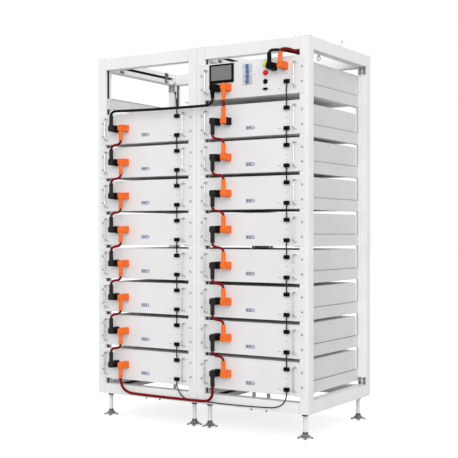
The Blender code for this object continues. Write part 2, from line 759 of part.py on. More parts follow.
def touch_screen_mesh():
    """The touch screen: a bezel in front of the panel and a back that passes through it."""
    half_x, half_z = SCREEN_WIDTH / 2, SCREEN_HEIGHT / 2
    back_x, back_z = half_x - SCREEN_MARGIN, half_z - SCREEN_MARGIN
    seat = PANEL_FRONT - GAP
    bezel = box_shape((-half_x, -SCREEN_REACH, -half_z), (half_x, seat, half_z))
    back_front = seat - PANEL_THICKNESS / 2
    back = box_shape((-back_x, back_front, -back_z), (back_x, SCREEN_BACK, back_z))
    return join([bezel, back])


def breaker_mesh():
    """The main breaker: a body behind the panel, a nose through it and a groove for the handle."""
    nose_x, nose_z = BREAKER_NOSE_WIDTH / 2, BREAKER_NOSE_HEIGHT / 2
    nose = box_shape((-nose_x, -BREAKER_NOSE_REACH, -nose_z), (nose_x, BREAKER_NOSE_REAR, nose_z))
    body_x, body_z = BREAKER_BODY_WIDTH / 2, nose_z - 0.0020
    body = box_shape((-body_x, 0.0010, -body_z), (body_x, BREAKER_BODY_REAR, body_z))
    groove_z = nose_z - BREAKER_END_WALL
    groove_ends = (0, HANDLE_HUB_Y, -groove_z), (0, HANDLE_HUB_Y, groove_z)
    groove = rod_shape(*groove_ends, HANDLE_HUB_RADIUS + HANDLE_CLEARANCE, 24)
    return cut(join([body, nose]), [groove])


def breaker_handle_mesh():
    """The linked handle of the breaker's poles, with its origin on its hinge line."""
    half = BREAKER_NOSE_HEIGHT / 2 - BREAKER_END_WALL - HANDLE_CLEARANCE * 0.7
    hub = rod_shape((0, 0, -half), (0, 0, half), HANDLE_HUB_RADIUS, 24)
    link_low = (-HANDLE_LINK_HALF, -HANDLE_LINK_REACH, -half + 0.0040)
    link_high = (HANDLE_LINK_HALF, -HANDLE_HUB_RADIUS / 2, half - 0.0040)
    shapes = [hub, box_shape(link_low, link_high)]
    pitch = 2 * half / BREAKER_POLES
    for pole in range(BREAKER_POLES):
        z = -half + (pole + 0.5) * pitch
        low = (-HANDLE_PADDLE_HALF, -HANDLE_PADDLE_REACH, z - HANDLE_PADDLE_HEIGHT / 2)
        high = (HANDLE_PADDLE_HALF, -0.0050, z + HANDLE_PADDLE_HEIGHT / 2)
        shapes.append(box_shape(low, high))
    mesh = join(shapes)
    mesh.transform(Matrix.Rotation(HANDLE_TILT, 4, "Z"))
    return mesh


def start_button_mesh():
    """The start button: its cap, stem and the flange that keeps it behind the panel."""
    cap = rod_shape((0, -BUTTON_REACH, 0), (0, 0.0120, 0), BUTTON_RADIUS, 16)
    flange = rod_shape((0, GAP, 0), (0, 0.0030, 0), BUTTON_FLANGE_RADIUS, 16)
    return join([cap, flange])


def block_on(rectangle, bottom, top):
    """A block between two levels, on a rectangle of low x, low y, high x and high y."""
    low_x, low_y, high_x, high_y = rectangle
    return box_shape((low_x, low_y, bottom), (high_x, high_y, top))


def switchgear_mesh(floor):
    """The contactors, fuse and control board on their mounting plate."""
    base = floor + GEAR_PLATE_THICKNESS * 0.7
    board_bottom = base + CONTROL_BOARD_Z
    board_top = board_bottom + CONTROL_BOARD_THICKNESS
    board_middle = (board_bottom + board_top) / 2
    shapes = [
        block_on(GEAR_PLATE, floor, floor + GEAR_PLATE_THICKNESS),
        block_on(FUSE, base, base + FUSE_HEIGHT),
    ]
    for x in CONTACTOR_XS:
        top = (x, CONTACTOR_Y, base + CONTACTOR_HEIGHT)
        shapes.append(rod_shape((x, CONTACTOR_Y, base), top, CONTACTOR_RADIUS))
    low_x, low_y, high_x, high_y = CONTROL_BOARD
    for x in (low_x + BOARD_PILLAR_INSET, high_x - BOARD_PILLAR_INSET):
        for y in (low_y + BOARD_PILLAR_INSET, high_y - BOARD_PILLAR_INSET):
            shapes.append(rod_shape((x, y, base), (x, y, board_top), BOARD_PILLAR_RADIUS, 8))
    shapes.append(block_on(CONTROL_BOARD, board_bottom, board_top))
    shapes.append(block_on(PROCESSOR, board_middle, board_top + PROCESSOR_HEIGHT))
    return join(shapes)


def build_control_box(rack, materials):
    """The control box on the top level of the right rack."""
    spot = (0, 0, BOX_PANEL_Z)
    tray = tray_mesh(BOX_CASE_BOTTOM, BOX_CASE_TOP - SHEET - GAP)
    floor = BOX_CASE_BOTTOM + SHEET + GAP
    white, black = materials["white_paint"], materials["black_plastic"]
    screen_spot = (SCREEN_X, 0, BOX_PANEL_Z + SCREEN_Z)
    breaker_spot = (BREAKER_X, 0, BOX_PANEL_Z + BREAKER_Z)
    hinge_spot = (BREAKER_X, HANDLE_HUB_Y, BOX_PANEL_Z + BREAKER_Z)
    button_spot = (LAMP_X, 0, BOX_PANEL_Z + BUTTON_Z)
    place("control_box_case", tray, rack, white, spot)
    place("control_box_cover", cover_mesh(BOX_CASE_TOP), rack, white, spot)
    place("control_box_front_panel", box_panel_mesh(), rack, materials["panel_white"], spot)
    place("control_box_switchgear", switchgear_mesh(floor), rack, materials["grey_plastic"], spot)
    place("touch_screen", touch_screen_mesh(), rack, black, screen_spot)
    place("main_breaker", breaker_mesh(), rack, materials["grey_plastic"], breaker_spot)
    place("breaker_handle", breaker_handle_mesh(), rack, materials["blue_plastic"], hinge_spot)
    place("start_button", start_button_mesh(), rack, black, button_spot)


# Cables.


def smooth_path(route, spacing):
    """Evenly spaced points on a smooth curve through the route's own points."""
    points = [Vector(point) for point in route]
    padded = [2 * points[0] - points[1], *points, 2 * points[-1] - points[-2]]
    dense = []
    for before, start, end, after in zip(padded, padded[1:], padded[2:], padded[3:]):
        for step in range(CURVE_STEPS):
            t = step / CURVE_STEPS
            dense.append(
                0.5
                * (
                    2 * start
                    + (end - before) * t
                    + (2 * before - 5 * start + 4 * end - after) * t**2
                    + (3 * start - 3 * end + after - before) * t**3
                )
            )
    dense.append(points[-1])
    lengths = [0.0]
    for start, end in zip(dense, dense[1:]):
        lengths.append(lengths[-1] + (end - start).length)
    count = max(2, round(lengths[-1] / spacing))
    path, index = [], 0
    for step in range(count + 1):
        target = lengths[-1] * step / count
        while index < len(lengths) - 2 and lengths[index + 1] < target:
            index += 1
        share = (target - lengths[index]) / (lengths[index + 1] - lengths[index])
        path.append(dense[index].lerp(dense[index + 1], min(1.0, share)))
    return path


def cable(name, route, diameter, parent, material):
    """A round cable along a smooth curve, as a tube with filled ends."""
    curve = bpy.data.curves.new(name, "CURVE")
    curve.dimensions = "3D"
    curve.bevel_depth = diameter / 2
    curve.bevel_resolution = 2
    curve.use_fill_caps = True
    spline = curve.splines.new("POLY")
    path = smooth_path(route, CABLE_STEP * diameter)
    for at, end, inner in ((1, route[0], route[1]), (-1, route[-1], route[-2])):
        straight = (Vector(inner) - Vector(end)).normalized()
        path.insert(at, Vector(end) + straight * CABLE_STUB * diameter)
    spline.points.add(len(path) - 1)
    for point, place_on_path in zip(spline.points, path):
        point.co = (*place_on_path, 1.0)
    curve.materials.append(material)
    piece = bpy.data.objects.new(name, curve)
    piece.parent = parent
    bpy.context.scene.collection.objects.link(piece)
    return piece


def left(x):
    """An x of the left rack, measured from the seam between the racks."""
    return x - RACK_PITCH / 2


def right(x):
    """An x of the right rack, measured from the seam between the racks."""
    return x + RACK_PITCH / 2


def build_link_cables(seam, materials):
    """The cables that join the two racks: power at the top and the bottom, and signal at the bottom."""
    black, red = materials["black_plastic"], materials["red_cable"]
    start_x, end_x = left(LEFT_SOCKET_X), right(LEFT_SOCKET_X)
    start_z = TOP_MODULE_Z + PLUG_LENGTH + GAP
    end_z = BOX_PANEL_Z + INPUT_SOCKET_Z - SHORT_PLUG_LENGTH - GAP
    top_route = [
        (start_x, PLUG_Y, start_z),
        (start_x, PLUG_Y, start_z + 0.0045),
        (start_x + 0.0070, PLUG_Y, start_z + 0.0130),
        (start_x + 0.0180, PLUG_Y, start_z + 0.0170),
        (start_x + 0.0400, PLUG_Y, start_z + 0.0175),
        (start_x + 0.1300, PLUG_Y, start_z + 0.0145),
        (start_x + 0.2600, PLUG_Y, start_z + 0.0120),
        (start_x + 0.3900, PLUG_Y, start_z + 0.0105),
        (start_x + 0.4700, PLUG_Y, start_z + 0.0105),
        (end_x - 0.0250, PLUG_Y, start_z + 0.0120),
        (end_x - 0.0100, PLUG_Y, start_z + 0.0175),
        (end_x - 0.0020, PLUG_Y, start_z + 0.0270),
        (end_x, PLUG_Y, end_z - 0.0045),
        (end_x, PLUG_Y, end_z),
    ]
    cable("top_power_link", top_route, POWER_CABLE_DIAMETER, seam, black)

    start_x, end_x = left(RIGHT_SOCKET_X), right(LEFT_SOCKET_X)
    plug_end = BOTTOM_MODULE_Z - PLUG_LENGTH - GAP
    bottom_route = [
        (start_x, PLUG_Y, plug_end),
        (start_x, PLUG_Y, 0.0680),
        (start_x + 0.0045, -0.0370, 0.0440),
        (start_x + 0.0140, -0.0295, 0.0275),
        (start_x + 0.0350, -0.0220, 0.0170),
        (start_x + 0.0800, -0.0180, 0.0140),
        (start_x + 0.2050, -0.0180, 0.0130),
        (start_x + 0.3300, -0.0180, 0.0135),
        (end_x - 0.0570, -0.0195, 0.0155),
        (end_x - 0.0290, -0.0250, 0.0235),
        (end_x - 0.0110, -0.0330, 0.0400),
        (end_x - 0.0015, -0.0415, 0.0600),
        (end_x, PLUG_Y, 0.0710),
        (end_x, PLUG_Y, plug_end),
    ]
    cable("bottom_power_link", bottom_route, POWER_CABLE_DIAMETER, seam, red)

    start_x, end_x = left(SIGNAL_X), right(SIGNAL_X)
    signal_y = -0.0080
    signal_end = BOTTOM_MODULE_Z + LOWER_SIGNAL_Z - SIGNAL_HEIGHT / 2 - GAP
    signal_route = [
        (start_x, signal_y, signal_end),
        (start_x, signal_y, signal_end - 0.0040),
        (start_x + 0.0012, signal_y, 0.0670),
        (start_x + 0.0065, -0.0065, 0.0480),
        (start_x + 0.0200, -0.0050, 0.0280),
        (start_x + 0.0480, -0.0050, 0.0145),
        (start_x + 0.1150, -0.0050, 0.0110),
        (start_x + 0.2200, -0.0050, 0.0095),
        (start_x + 0.3300, -0.0050, 0.0105),
        (end_x - 0.0820, -0.0050, 0.0140),
        (end_x - 0.0430, -0.0050, 0.0205),
        (end_x - 0.0190, -0.0050, 0.0340),
        (end_x - 0.0050, -0.0065, 0.0540),
        (end_x - 0.0008, signal_y, 0.0680),
        (end_x, signal_y, signal_end - 0.0040),
        (end_x, signal_y, signal_end),
    ]
    cable("bottom_signal_link", signal_route, SIGNAL_CABLE_DIAMETER, seam, black)


def lead_connector(name, x, start_y, z, parent, material):
    """The flat connector on the rear end of an output lead."""
    width, length, height = LEAD_CONNECTOR_SIZE
    body = box_shape((-width / 2, 0, -height / 2), (width / 2, length, height / 2))
    place(name, body, parent, material, (x, start_y, z))


def build_output_leads(seam, materials):
    """The two output leads: over the box panel, under the front beam and back along the side beam."""
    run_x = right(INNER_X) - 0.0070
    start_z = BOX_PANEL_Z + OUTPUT_SOCKET_Z + SHORT_PLUG_LENGTH + GAP
    black_x, red_x = right(LEFT_OUTPUT_X), right(RIGHT_OUTPUT_X)
    black_run, red_run = BEAM_TOP_Z + 0.0270, BEAM_TOP_Z + 0.0400
    black_route = [
        (black_x, PLUG_Y, start_z),
        (black_x, PLUG_Y, start_z + 0.0055),
        (black_x + 0.0032, -0.0415, start_z + 0.0127),
        (black_x + 0.0107, -0.0370, start_z + 0.0162),
        (black_x + 0.0247, -0.0310, start_z + 0.0167),
        (black_x + 0.0397, -0.0240, start_z + 0.0157),
        (black_x + 0.0577, -0.0145, start_z + 0.0132),
        (black_x + 0.0727, -0.0030, start_z + 0.0092),
        (black_x + 0.0815, 0.0120, start_z + 0.0077),
        (black_x + 0.0840, 0.0350, start_z + 0.0067),
        (black_x + 0.0865, 0.0550, start_z + 0.0100),
        (black_x + 0.0915, 0.0800, start_z + 0.0240),
        (run_x - 0.0015, 0.1000, black_run - 0.0035),
        (run_x, 0.1200, black_run),
        (run_x, 0.2800, black_run - 0.0012),
        (run_x, 0.4400, black_run),
        (run_x, LEAD_RUN_END, black_run),
    ]
    red_route = [
        (red_x, PLUG_Y, start_z),
        (red_x, PLUG_Y, start_z + 0.0055),
        (red_x + 0.0032, -0.0425, start_z + 0.0127),
        (red_x + 0.0107, -0.0385, start_z + 0.0162),
        (red_x + 0.0217, -0.0305, start_z + 0.0162),
        (red_x + 0.0322, -0.0195, start_z + 0.0142),
        (red_x + 0.0417, -0.0050, start_z + 0.0097),
        (red_x + 0.0470, 0.0120, start_z + 0.0077),
        (red_x + 0.0487, 0.0340, start_z + 0.0077),
        (red_x + 0.0497, 0.0560, start_z + 0.0150),
        (red_x + 0.0533, 0.0780, start_z + 0.0400),
        (run_x, 0.0980, red_run - 0.0040),
        (run_x, 0.1180, red_run),
        (run_x, 0.2800, red_run - 0.0012),
        (run_x, 0.4400, red_run),
        (run_x, LEAD_RUN_END, red_run),
    ]
    black, red = materials["black_plastic"], materials["red_cable"]
    cable("output_negative_lead", black_route, POWER_CABLE_DIAMETER, seam, black)
    cable("output_positive_lead", red_route, POWER_CABLE_DIAMETER, seam, red)
    connector_x = run_x - 0.0046
    lead_connector("output_negative_connector", connector_x, LEAD_RUN_END + GAP, black_run, seam, black)
    lead_connector("output_positive_connector", connector_x, LEAD_RUN_END + GAP, red_run, seam, black)


def main():
    """Builds the whole object."""
    clear_scene()
    materials = {name: make_material(name) for name in COLOURS}
    seam = make_empty("seam_frame", (0, FRONT_Y, FOOT_HEIGHT))
    for side_name, side, left_direction in (("left", -1, 1), ("right", 1, -1)):
        rack = make_empty(f"{side_name}_rack_frame", (side * RACK_PITCH / 2, FRONT_Y, FOOT_HEIGHT))
        build_rack_frame(side_name, rack, materials)
        build_modules(side_name, rack, left_direction, materials)
        if side_name == "right":
            build_control_box(rack, materials)
    build_link_cables(seam, materials)
    build_output_leads(seam, materials)


main()
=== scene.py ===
"""The looks of a twin-rack battery: camera, cables, detailed pieces and materials.

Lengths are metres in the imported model's frame: +Z up, module fronts facing -Y, origin on the floor.
A rack's own sizes are measured from its origin: x from its centre line, y from the front of its posts
towards the rear, and z from the underside of its posts.
"""

import math

import bmesh
import bpy
from mathutils import Matrix, Vector


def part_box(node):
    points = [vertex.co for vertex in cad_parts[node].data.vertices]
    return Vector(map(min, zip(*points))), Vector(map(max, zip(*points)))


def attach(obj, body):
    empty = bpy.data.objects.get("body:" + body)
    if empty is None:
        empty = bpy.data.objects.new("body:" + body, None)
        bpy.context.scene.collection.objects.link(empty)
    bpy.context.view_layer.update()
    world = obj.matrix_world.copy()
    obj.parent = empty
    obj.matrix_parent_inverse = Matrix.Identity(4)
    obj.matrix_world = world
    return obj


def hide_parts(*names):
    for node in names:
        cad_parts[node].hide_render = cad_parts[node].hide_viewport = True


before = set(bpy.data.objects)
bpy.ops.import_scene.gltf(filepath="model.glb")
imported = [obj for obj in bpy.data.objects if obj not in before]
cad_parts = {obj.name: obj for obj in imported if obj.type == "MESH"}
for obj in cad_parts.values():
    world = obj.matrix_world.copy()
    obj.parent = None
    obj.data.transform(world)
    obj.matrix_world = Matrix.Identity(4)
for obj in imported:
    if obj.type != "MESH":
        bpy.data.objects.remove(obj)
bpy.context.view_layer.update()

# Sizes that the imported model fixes.
POST_HEIGHT = 1.4570
POST_SIZE = 0.04
RACK_DEPTH = 0.5650
HALF_WIDTH = 0.2600
INNER_X = HALF_WIDTH - POST_SIZE
BEAM_HEIGHT = 0.05
BEAM_TOP_Z = POST_HEIGHT - BEAM_HEIGHT
LOWER_CROSS_HEIGHT = 0.043
GAP = 0.0003
STUD_NOTCH = 0.012
FOOT_X = 0.2220
FOOT_Y = 0.0425
EYE_Y = 0.3200
MODULE_COUNT = 8
MODULE_PITCH = 0.1447
TOP_MODULE_Z = 1.1465
BOX_PANEL_Z = 1.3110
CASE_HALF = 0.2150
CASE_BOTTOM = -0.065
CASE_TOP = 0.063
BOX_CASE_BOTTOM = -0.07
RUNNER_HEIGHT = 0.047
BOX_RUNNER_Z = 1.2385
CASE_REAR = 0.5130
PANEL_HALF = 0.2413
PANEL_BACK = -GAP
PANEL_FRONT = -0.0023
PANEL_LIP = 0.0068
EAR_SCREW_X = 0.23255
EAR_SCREW_Z = 0.0286
HANDLE_X = 0.2050
LEFT_SOCKET_X = -0.1530
RIGHT_SOCKET_X = -0.1010
PLUG_Y = -0.0435
PLUG_LENGTH = 0.054
SHORT_PLUG_LENGTH = 0.044
SIGNAL_X = 0.1670
SIGNAL_Y = -0.008
UPPER_SIGNAL_Z = 0.037
LOWER_SIGNAL_Z = -0.042
SIGNAL_HEIGHT = 0.015
POWER_DIAMETER = 0.0115
SIGNAL_DIAMETER = 0.0045
MODULE_PANEL_HEIGHT = 0.1305
BOX_PANEL_HEIGHT = 0.1460
BOX_INPUT_Z = -0.029
BOX_OUTPUT_Z = 0.035
BOX_SIGNAL_Z = -0.025
NEGATIVE_OUTPUT_X = 0.1100
POSITIVE_OUTPUT_X = 0.1590
SCREEN_X = -0.1350
SCREEN_Z = 0.03
BREAKER_X = -0.0145
BREAKER_Z = BOX_PANEL_Z + 0.0185
HINGE_Y = -0.002
HANDLE_TILT = math.radians(35.0)
LAMP_X = 0.069
BUTTON_Z = -0.018

# Sizes and angles of what is only in the visual model.
ROUNDED_ANGLE = math.radians(35)
SHARP_ANGLE = math.radians(38)
PACKED_BEVEL_ANGLE = math.radians(40)
PACKED_BEVEL = 0.0004
HANDLE_HALF = 0.0465
HANDLE_BAR_Y = -0.024
HANDLE_BEND = 0.008
TOP_BOLT_RADIUS = 0.006
TOP_BOLT_HEIGHT = 0.0062
TOP_BOLT_Y = 0.012
PRINT_DEPTH = (PANEL_FRONT - 0.00012, PANEL_FRONT + 0.0002)
VENT_PITCH = 0.015
CABLE_STEP = 0.004
CABLE_STEP_PER_DIAMETER = 0.45
CURVE_STEPS = 24
BEND_STEPS = 6

# The camera, placed from the seam between the racks and level.
SENSOR_WIDTH = 36.0
LENS_LENGTH = 78.6
LENS_SHIFT = 0.0071
CAMERA_SPOT = (2.3168, -3.3922, 0.7009)
CAMERA_HEADING = 32.47

# The studio's light.
SKY_STRENGTH = 0.86
KEY_STRENGTH = 1.80
KEY_ANGLE = 50.0
KEY_DIRECTION = (-0.70, 1.0, -0.30)
FLOOR_GLOW = 0.74

SIDES = ("left", "right")
HANDS = ("left", "right")
ENDS = ("front", "rear")
UP = (0, 0, 1)
FORWARD = (0, -1, 0)


def rack_origin(side):
    """Where a rack's own origin lies: under its post fronts' centre, at the posts' underside."""
    low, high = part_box(f"{side}_front_frame")
    return Vector(((low[0] + high[0]) / 2, low[1], high[2] - POST_HEIGHT))


RACKS = {side: rack_origin(side) for side in SIDES}
SEAM = (RACKS["left"] + RACKS["right"]) / 2
BODY = "racks"


def module_z(number):
    """The height of a module's centre in its rack, numbered from the top."""
    return TOP_MODULE_Z - (number - 1) * MODULE_PITCH


# Camera.


def build_camera():
    """A long lens at chest height, to the right of the racks."""
    data = bpy.data.cameras.new("camera")
    data.sensor_width = SENSOR_WIDTH
    data.lens = LENS_LENGTH
    data.shift_y = LENS_SHIFT
    camera = bpy.data.objects.new("camera", data)
    camera.location = SEAM + Vector(CAMERA_SPOT)
    camera.rotation_euler = (math.radians(90.0), 0.0, math.radians(CAMERA_HEADING))
    bpy.context.scene.collection.objects.link(camera)
    bpy.context.scene.camera = camera


build_camera()

# Materials.

FINISHES = {}

# A mix node's colour sockets, by number: two inputs and the output.
FIRST_COLOUR, SECOND_COLOUR, MIXED_COLOUR = 6, 7, 2


class Finish:
    """A node material being built, with object coordinates in metres."""

    def __init__(self, name, roughness=0.5, metallic=0.0, coat=0.0, gloss=0.5):
        self.material = bpy.data.materials.new(name)
        self.material.use_nodes = True
        self.tree = self.material.node_tree
        self.shader = self.tree.nodes["Principled BSDF"]
        self.shader.inputs["Roughness"].default_value = roughness
        self.shader.inputs["Metallic"].default_value = metallic
        self.shader.inputs["Coat Weight"].default_value = coat
        self.shader.inputs["Specular IOR Level"].default_value = gloss
        self.coords = self.node("ShaderNodeTexCoord").outputs["Object"]
        FINISHES[name] = self.material

    def node(self, kind, **values):
        made = self.tree.nodes.new(kind)
        for key, value in values.items():
            setattr(made, key, value)
        return made

    def link(self, source, target):
        self.tree.links.new(source, target)

    def stretched(self, stretch):
        """Object coordinates scaled along each axis."""
        mapping = self.node("ShaderNodeMapping")
        mapping.inputs["Scale"].default_value = stretch
        self.link(self.coords, mapping.inputs["Vector"])
        return mapping.outputs["Vector"]

    def noise(self, scale, detail=4.0, stretch=(1, 1, 1)):
        made = self.node("ShaderNodeTexNoise")
        made.inputs["Scale"].default_value = scale
        made.inputs["Detail"].default_value = detail
        self.link(self.stretched(stretch), made.inputs["Vector"])
        return made.outputs["Fac"]

    def cells(self, scale):
        made = self.node("ShaderNodeTexVoronoi")
        made.inputs["Scale"].default_value = scale
        self.link(self.coords, made.inputs["Vector"])
        return made

    def spread(self, value, low, high, start=0.3, end=0.7):
        """A value from start to end carried to the range from low to high."""
        made = self.node("ShaderNodeMapRange")
        for key, edge in (("From Min", start), ("From Max", end), ("To Min", low), ("To Max", high)):
            made.inputs[key].default_value = edge
        self.link(value, made.inputs["Value"])
        return made.outputs["Result"]

    def haze(self, scale, low=0.0, high=1.0, stretch=(1, 1, 1)):
        """Soft noise over the range from low to high."""
        return self.spread(self.noise(scale, 4.0, stretch), low, high)

    def times(self, first, second):
        made = self.node("ShaderNodeMath", operation="MULTIPLY")
        self.link(first, made.inputs[0])
        if isinstance(second, float):
            made.inputs[1].default_value = second
        else:
            self.link(second, made.inputs[1])
        return made.outputs["Value"]

    def mix(self, first, second, factor):
        """A blend of two colours, each a triple or another node's output."""
        made = self.node("ShaderNodeMix", data_type="RGBA")
        self.link(factor, made.inputs["Factor"])
        for source, key in ((first, FIRST_COLOUR), (second, SECOND_COLOUR)):
            if isinstance(source, tuple):
                made.inputs[key].default_value = (*source, 1.0)
            else:
                self.link(source, made.inputs[key])
        return made.outputs[MIXED_COLOUR]

    def mottled(self, colour, dark, light, scale):
        """A colour that drifts between a darker and a lighter shade of itself."""
        return self.mix(shade(colour, dark), shade(colour, light), self.haze(scale))

    def edges(self, scale):
        """Where a rounded edge is rubbed: the edge attribute, broken up by noise."""
        attribute = self.node("ShaderNodeAttribute", attribute_name="edge")
        return self.times(attribute.outputs["Fac"], self.spread(self.noise(scale), 0.0, 1.0, 0.45, 0.6))

    def facing_up(self):
        """One on faces that look up, where dust settles, and zero elsewhere."""
        return self.spread(self.upward(), 0.0, 1.0, 0.6, 1.0)

    def level(self):
        """One on faces that look up or down, and zero elsewhere."""
        made = self.node("ShaderNodeMath", operation="ABSOLUTE")
        self.link(self.upward(), made.inputs[0])
        return self.spread(made.outputs["Value"], 0.0, 1.0, 0.8, 0.95)

    def upward(self):
        normal = self.node("ShaderNodeNewGeometry").outputs["Normal"]
        split = self.node("ShaderNodeSeparateXYZ")
        self.link(normal, split.inputs["Vector"])
        return split.outputs["Z"]

    def glow(self, colour, strength):
        self.shader.inputs["Emission Color"].default_value = (*colour, 1.0)
        self.shader.inputs["Emission Strength"].default_value = strength

    def colour(self, source):
        self.link(source, self.shader.inputs["Base Color"])

    def rough(self, scale, low, high, stretch=(1, 1, 1)):
        """Roughness that drifts between low and high."""
        self.link(self.haze(scale, low, high, stretch), self.shader.inputs["Roughness"])

    def bump(self, height, strength, distance):
        made = self.node("ShaderNodeBump")
        made.inputs["Strength"].default_value = strength
        made.inputs["Distance"].default_value = distance
        self.link(height, made.inputs["Height"])
        self.link(made.outputs["Normal"], self.shader.inputs["Normal"])


def shade(colour, factor):
    """A colour made lighter or darker."""
    return tuple(min(1.0, channel * factor) for channel in colour)


def powder_coat(name, colour, roughness, grain=700.0, painted_level_light=None):
    """Powder-coated steel, dusty on top and rubbed at the edges; level faces may take their own colour,
    which is painted light: lighter tops and undersides that brighten the gaps between stacked cases.
    """
    finish = Finish(name)
    base = finish.mottled(colour, 0.965, 1.025, 7.0)
    # Faces that look up or down take the level colour: painted light.
    if painted_level_light:
        base = finish.mix(base, painted_level_light, finish.level())
    dust = finish.times(finish.facing_up(), finish.haze(26.0, 0.02, 0.16))
    dusty = finish.mix(base, (0.52, 0.50, 0.46), dust)
    finish.colour(finish.mix(dusty, shade(colour, 0.80), finish.times(finish.edges(90.0), 0.5)))
    finish.rough(55.0, roughness - 0.07, roughness + 0.09)
    finish.bump(finish.noise(grain, 2.0), 0.18, 0.0004)


def moulded(name, colour, roughness, gloss=0.25):
    """Moulded plastic with a fine spark texture, cloudy tone and polished edges."""
    finish = Finish(name, gloss=gloss)
    worn = tuple(0.85 * channel + 0.015 for channel in colour)
    wear = finish.times(finish.edges(260.0), 0.6)
    finish.colour(finish.mix(finish.mottled(colour, 0.86, 1.12, 45.0), worn, wear))
    finish.rough(140.0, roughness - 0.08, roughness + 0.10)
    finish.bump(finish.cells(2300.0).outputs["Distance"], 0.22, 0.0003)


def jacket(name, colour, roughness):
    """A cable's matt jacket, finely grained and a little cloudy."""
    finish = Finish(name, gloss=0.12)
    finish.colour(finish.mottled(colour, 0.75, 1.2, 60.0))
    finish.rough(180.0, roughness - 0.08, roughness + 0.12)
    finish.bump(finish.noise(1500.0, 3.0), 0.25, 0.0003)


def plated(name, colour, roughness):
    """Plated steel with spangle, handling marks and fine scratches."""
    finish = Finish(name, metallic=1.0)
    tone = finish.mix(shade(colour, 0.82), shade(colour, 1.1), finish.cells(260.0).outputs["Color"])
    finish.colour(finish.mix(tone, shade(colour, 0.6), finish.haze(35.0, 0.0, 0.45)))
    finish.rough(120.0, roughness - 0.08, roughness + 0.14)
    finish.bump(finish.noise(420.0, 6.0, (1, 1, 12)), 0.15, 0.0003)


def cast_metal(name, colour):
    """Sand-cast metal with a pitted skin and bright rubbed edges."""
    finish = Finish(name, metallic=0.7)
    base = finish.mottled(colour, 0.55, 1.3, 160.0)
    finish.colour(finish.mix(base, shade(colour, 2.2), finish.edges(200.0)))
    finish.rough(90.0, 0.38, 0.66)
    finish.bump(finish.noise(700.0, 6.0), 0.5, 0.0006)


def lens(name, colour):
    """A coloured lens that glows a little, with a moulded grid."""
    finish = Finish(name, roughness=0.25, coat=0.15, gloss=0.2)
    grid = finish.spread(finish.cells(900.0).outputs["Distance"], 0.0, 1.0, 0.1, 0.6)
    finish.colour(finish.mix(colour, shade(colour, 0.78), grid))
    finish.glow(colour, 0.25)


def display(name, colour):
    """A dark display's glass over its fine grid of dots."""
    finish = Finish(name, roughness=0.35, coat=0.4, gloss=0.2)
    grid = finish.spread(finish.cells(1900.0).outputs["Distance"], 0.0, 1.0, 0.2, 0.7)
    finish.colour(finish.mix(finish.mottled(colour, 0.94, 1.06, 16.0), shade(colour, 0.9), grid))


def ink(name, colour):
    """Screen-printed ink, a little patchy."""
    finish = Finish(name)
    finish.colour(finish.mottled(colour, 1.0, 1.35, 420.0))
    finish.rough(300.0, 0.35, 0.55)
    finish.bump(finish.noise(1600.0), 0.1, 0.0002)


def rolled_copper(name, colour):
    """Rolled copper bar with drag lines and tarnish."""
    finish = Finish(name, metallic=1.0)
    finish.colour(finish.mix(colour, shade(colour, 0.5), finish.haze(28.0, 0.0, 0.8)))
    finish.rough(200.0, 0.22, 0.45, (1, 14, 1))
    finish.bump(finish.noise(500.0, 4.0, (1, 20, 1)), 0.12, 0.0002)


def circuit_board(name, colour):
    """Solder mask over copper tracks."""
    finish = Finish(name, roughness=0.35, coat=0.4)
    tracks = finish.spread(finish.noise(90.0, 2.0, (1, 1, 9)), 0.0, 1.0, 0.49, 0.53)
    finish.colour(finish.mix(colour, shade(colour, 1.8), tracks))
    finish.bump(tracks, 0.3, 0.0002)


powder_coat("white_paint", (0.84, 0.84, 0.84), 0.42)
powder_coat("panel_white", (0.80, 0.80, 0.805), 0.46, 1100.0)
# The case grey's tops and undersides are painted lighter: painted light in the gaps between cases.
powder_coat("case_grey", (0.67, 0.67, 0.67), 0.50, 900.0, (0.92, 0.92, 0.92))
# A dark grey that is painted shade: the shadow lines on the runners' tops, the seam gaps of the cases and
# the packed cases' vent slots.
powder_coat("painted_gap_shade", (0.16, 0.16, 0.16), 0.55, 900.0)
# A near black that is painted shade: the inner faces of the posts' slots and the modules' vent slots.
powder_coat("painted_slot_shade", (0.05, 0.05, 0.05), 0.60, 900.0)
plated("zinc", (0.72, 0.73, 0.74), 0.30)
plated("handle_steel", (0.80, 0.80, 0.81), 0.26)
# Darker steel for the bracket bolts, and painted shade on the handles' upper bends.
plated("dark_steel_and_bend_shade", (0.40, 0.40, 0.405), 0.34)
cast_metal("cast_iron", (0.30, 0.295, 0.29))
powder_coat("stud_zinc", (0.82, 0.82, 0.83), 0.35, 1500.0)
moulded("black_plastic", (0.005, 0.005, 0.005), 0.42, gloss=0.05)
# The plugs' black plastic, lighter than the sockets' black: a painted highlight over the plugs.
moulded("plug_black_painted_highlight", (0.026, 0.026, 0.027), 0.42, gloss=0.05)
moulded("orange_plastic", (0.95, 0.16, 0.015), 0.45)
moulded("grey_plastic", (0.36, 0.36, 0.365), 0.50)
moulded("breaker_grey", (0.66, 0.66, 0.655), 0.50)
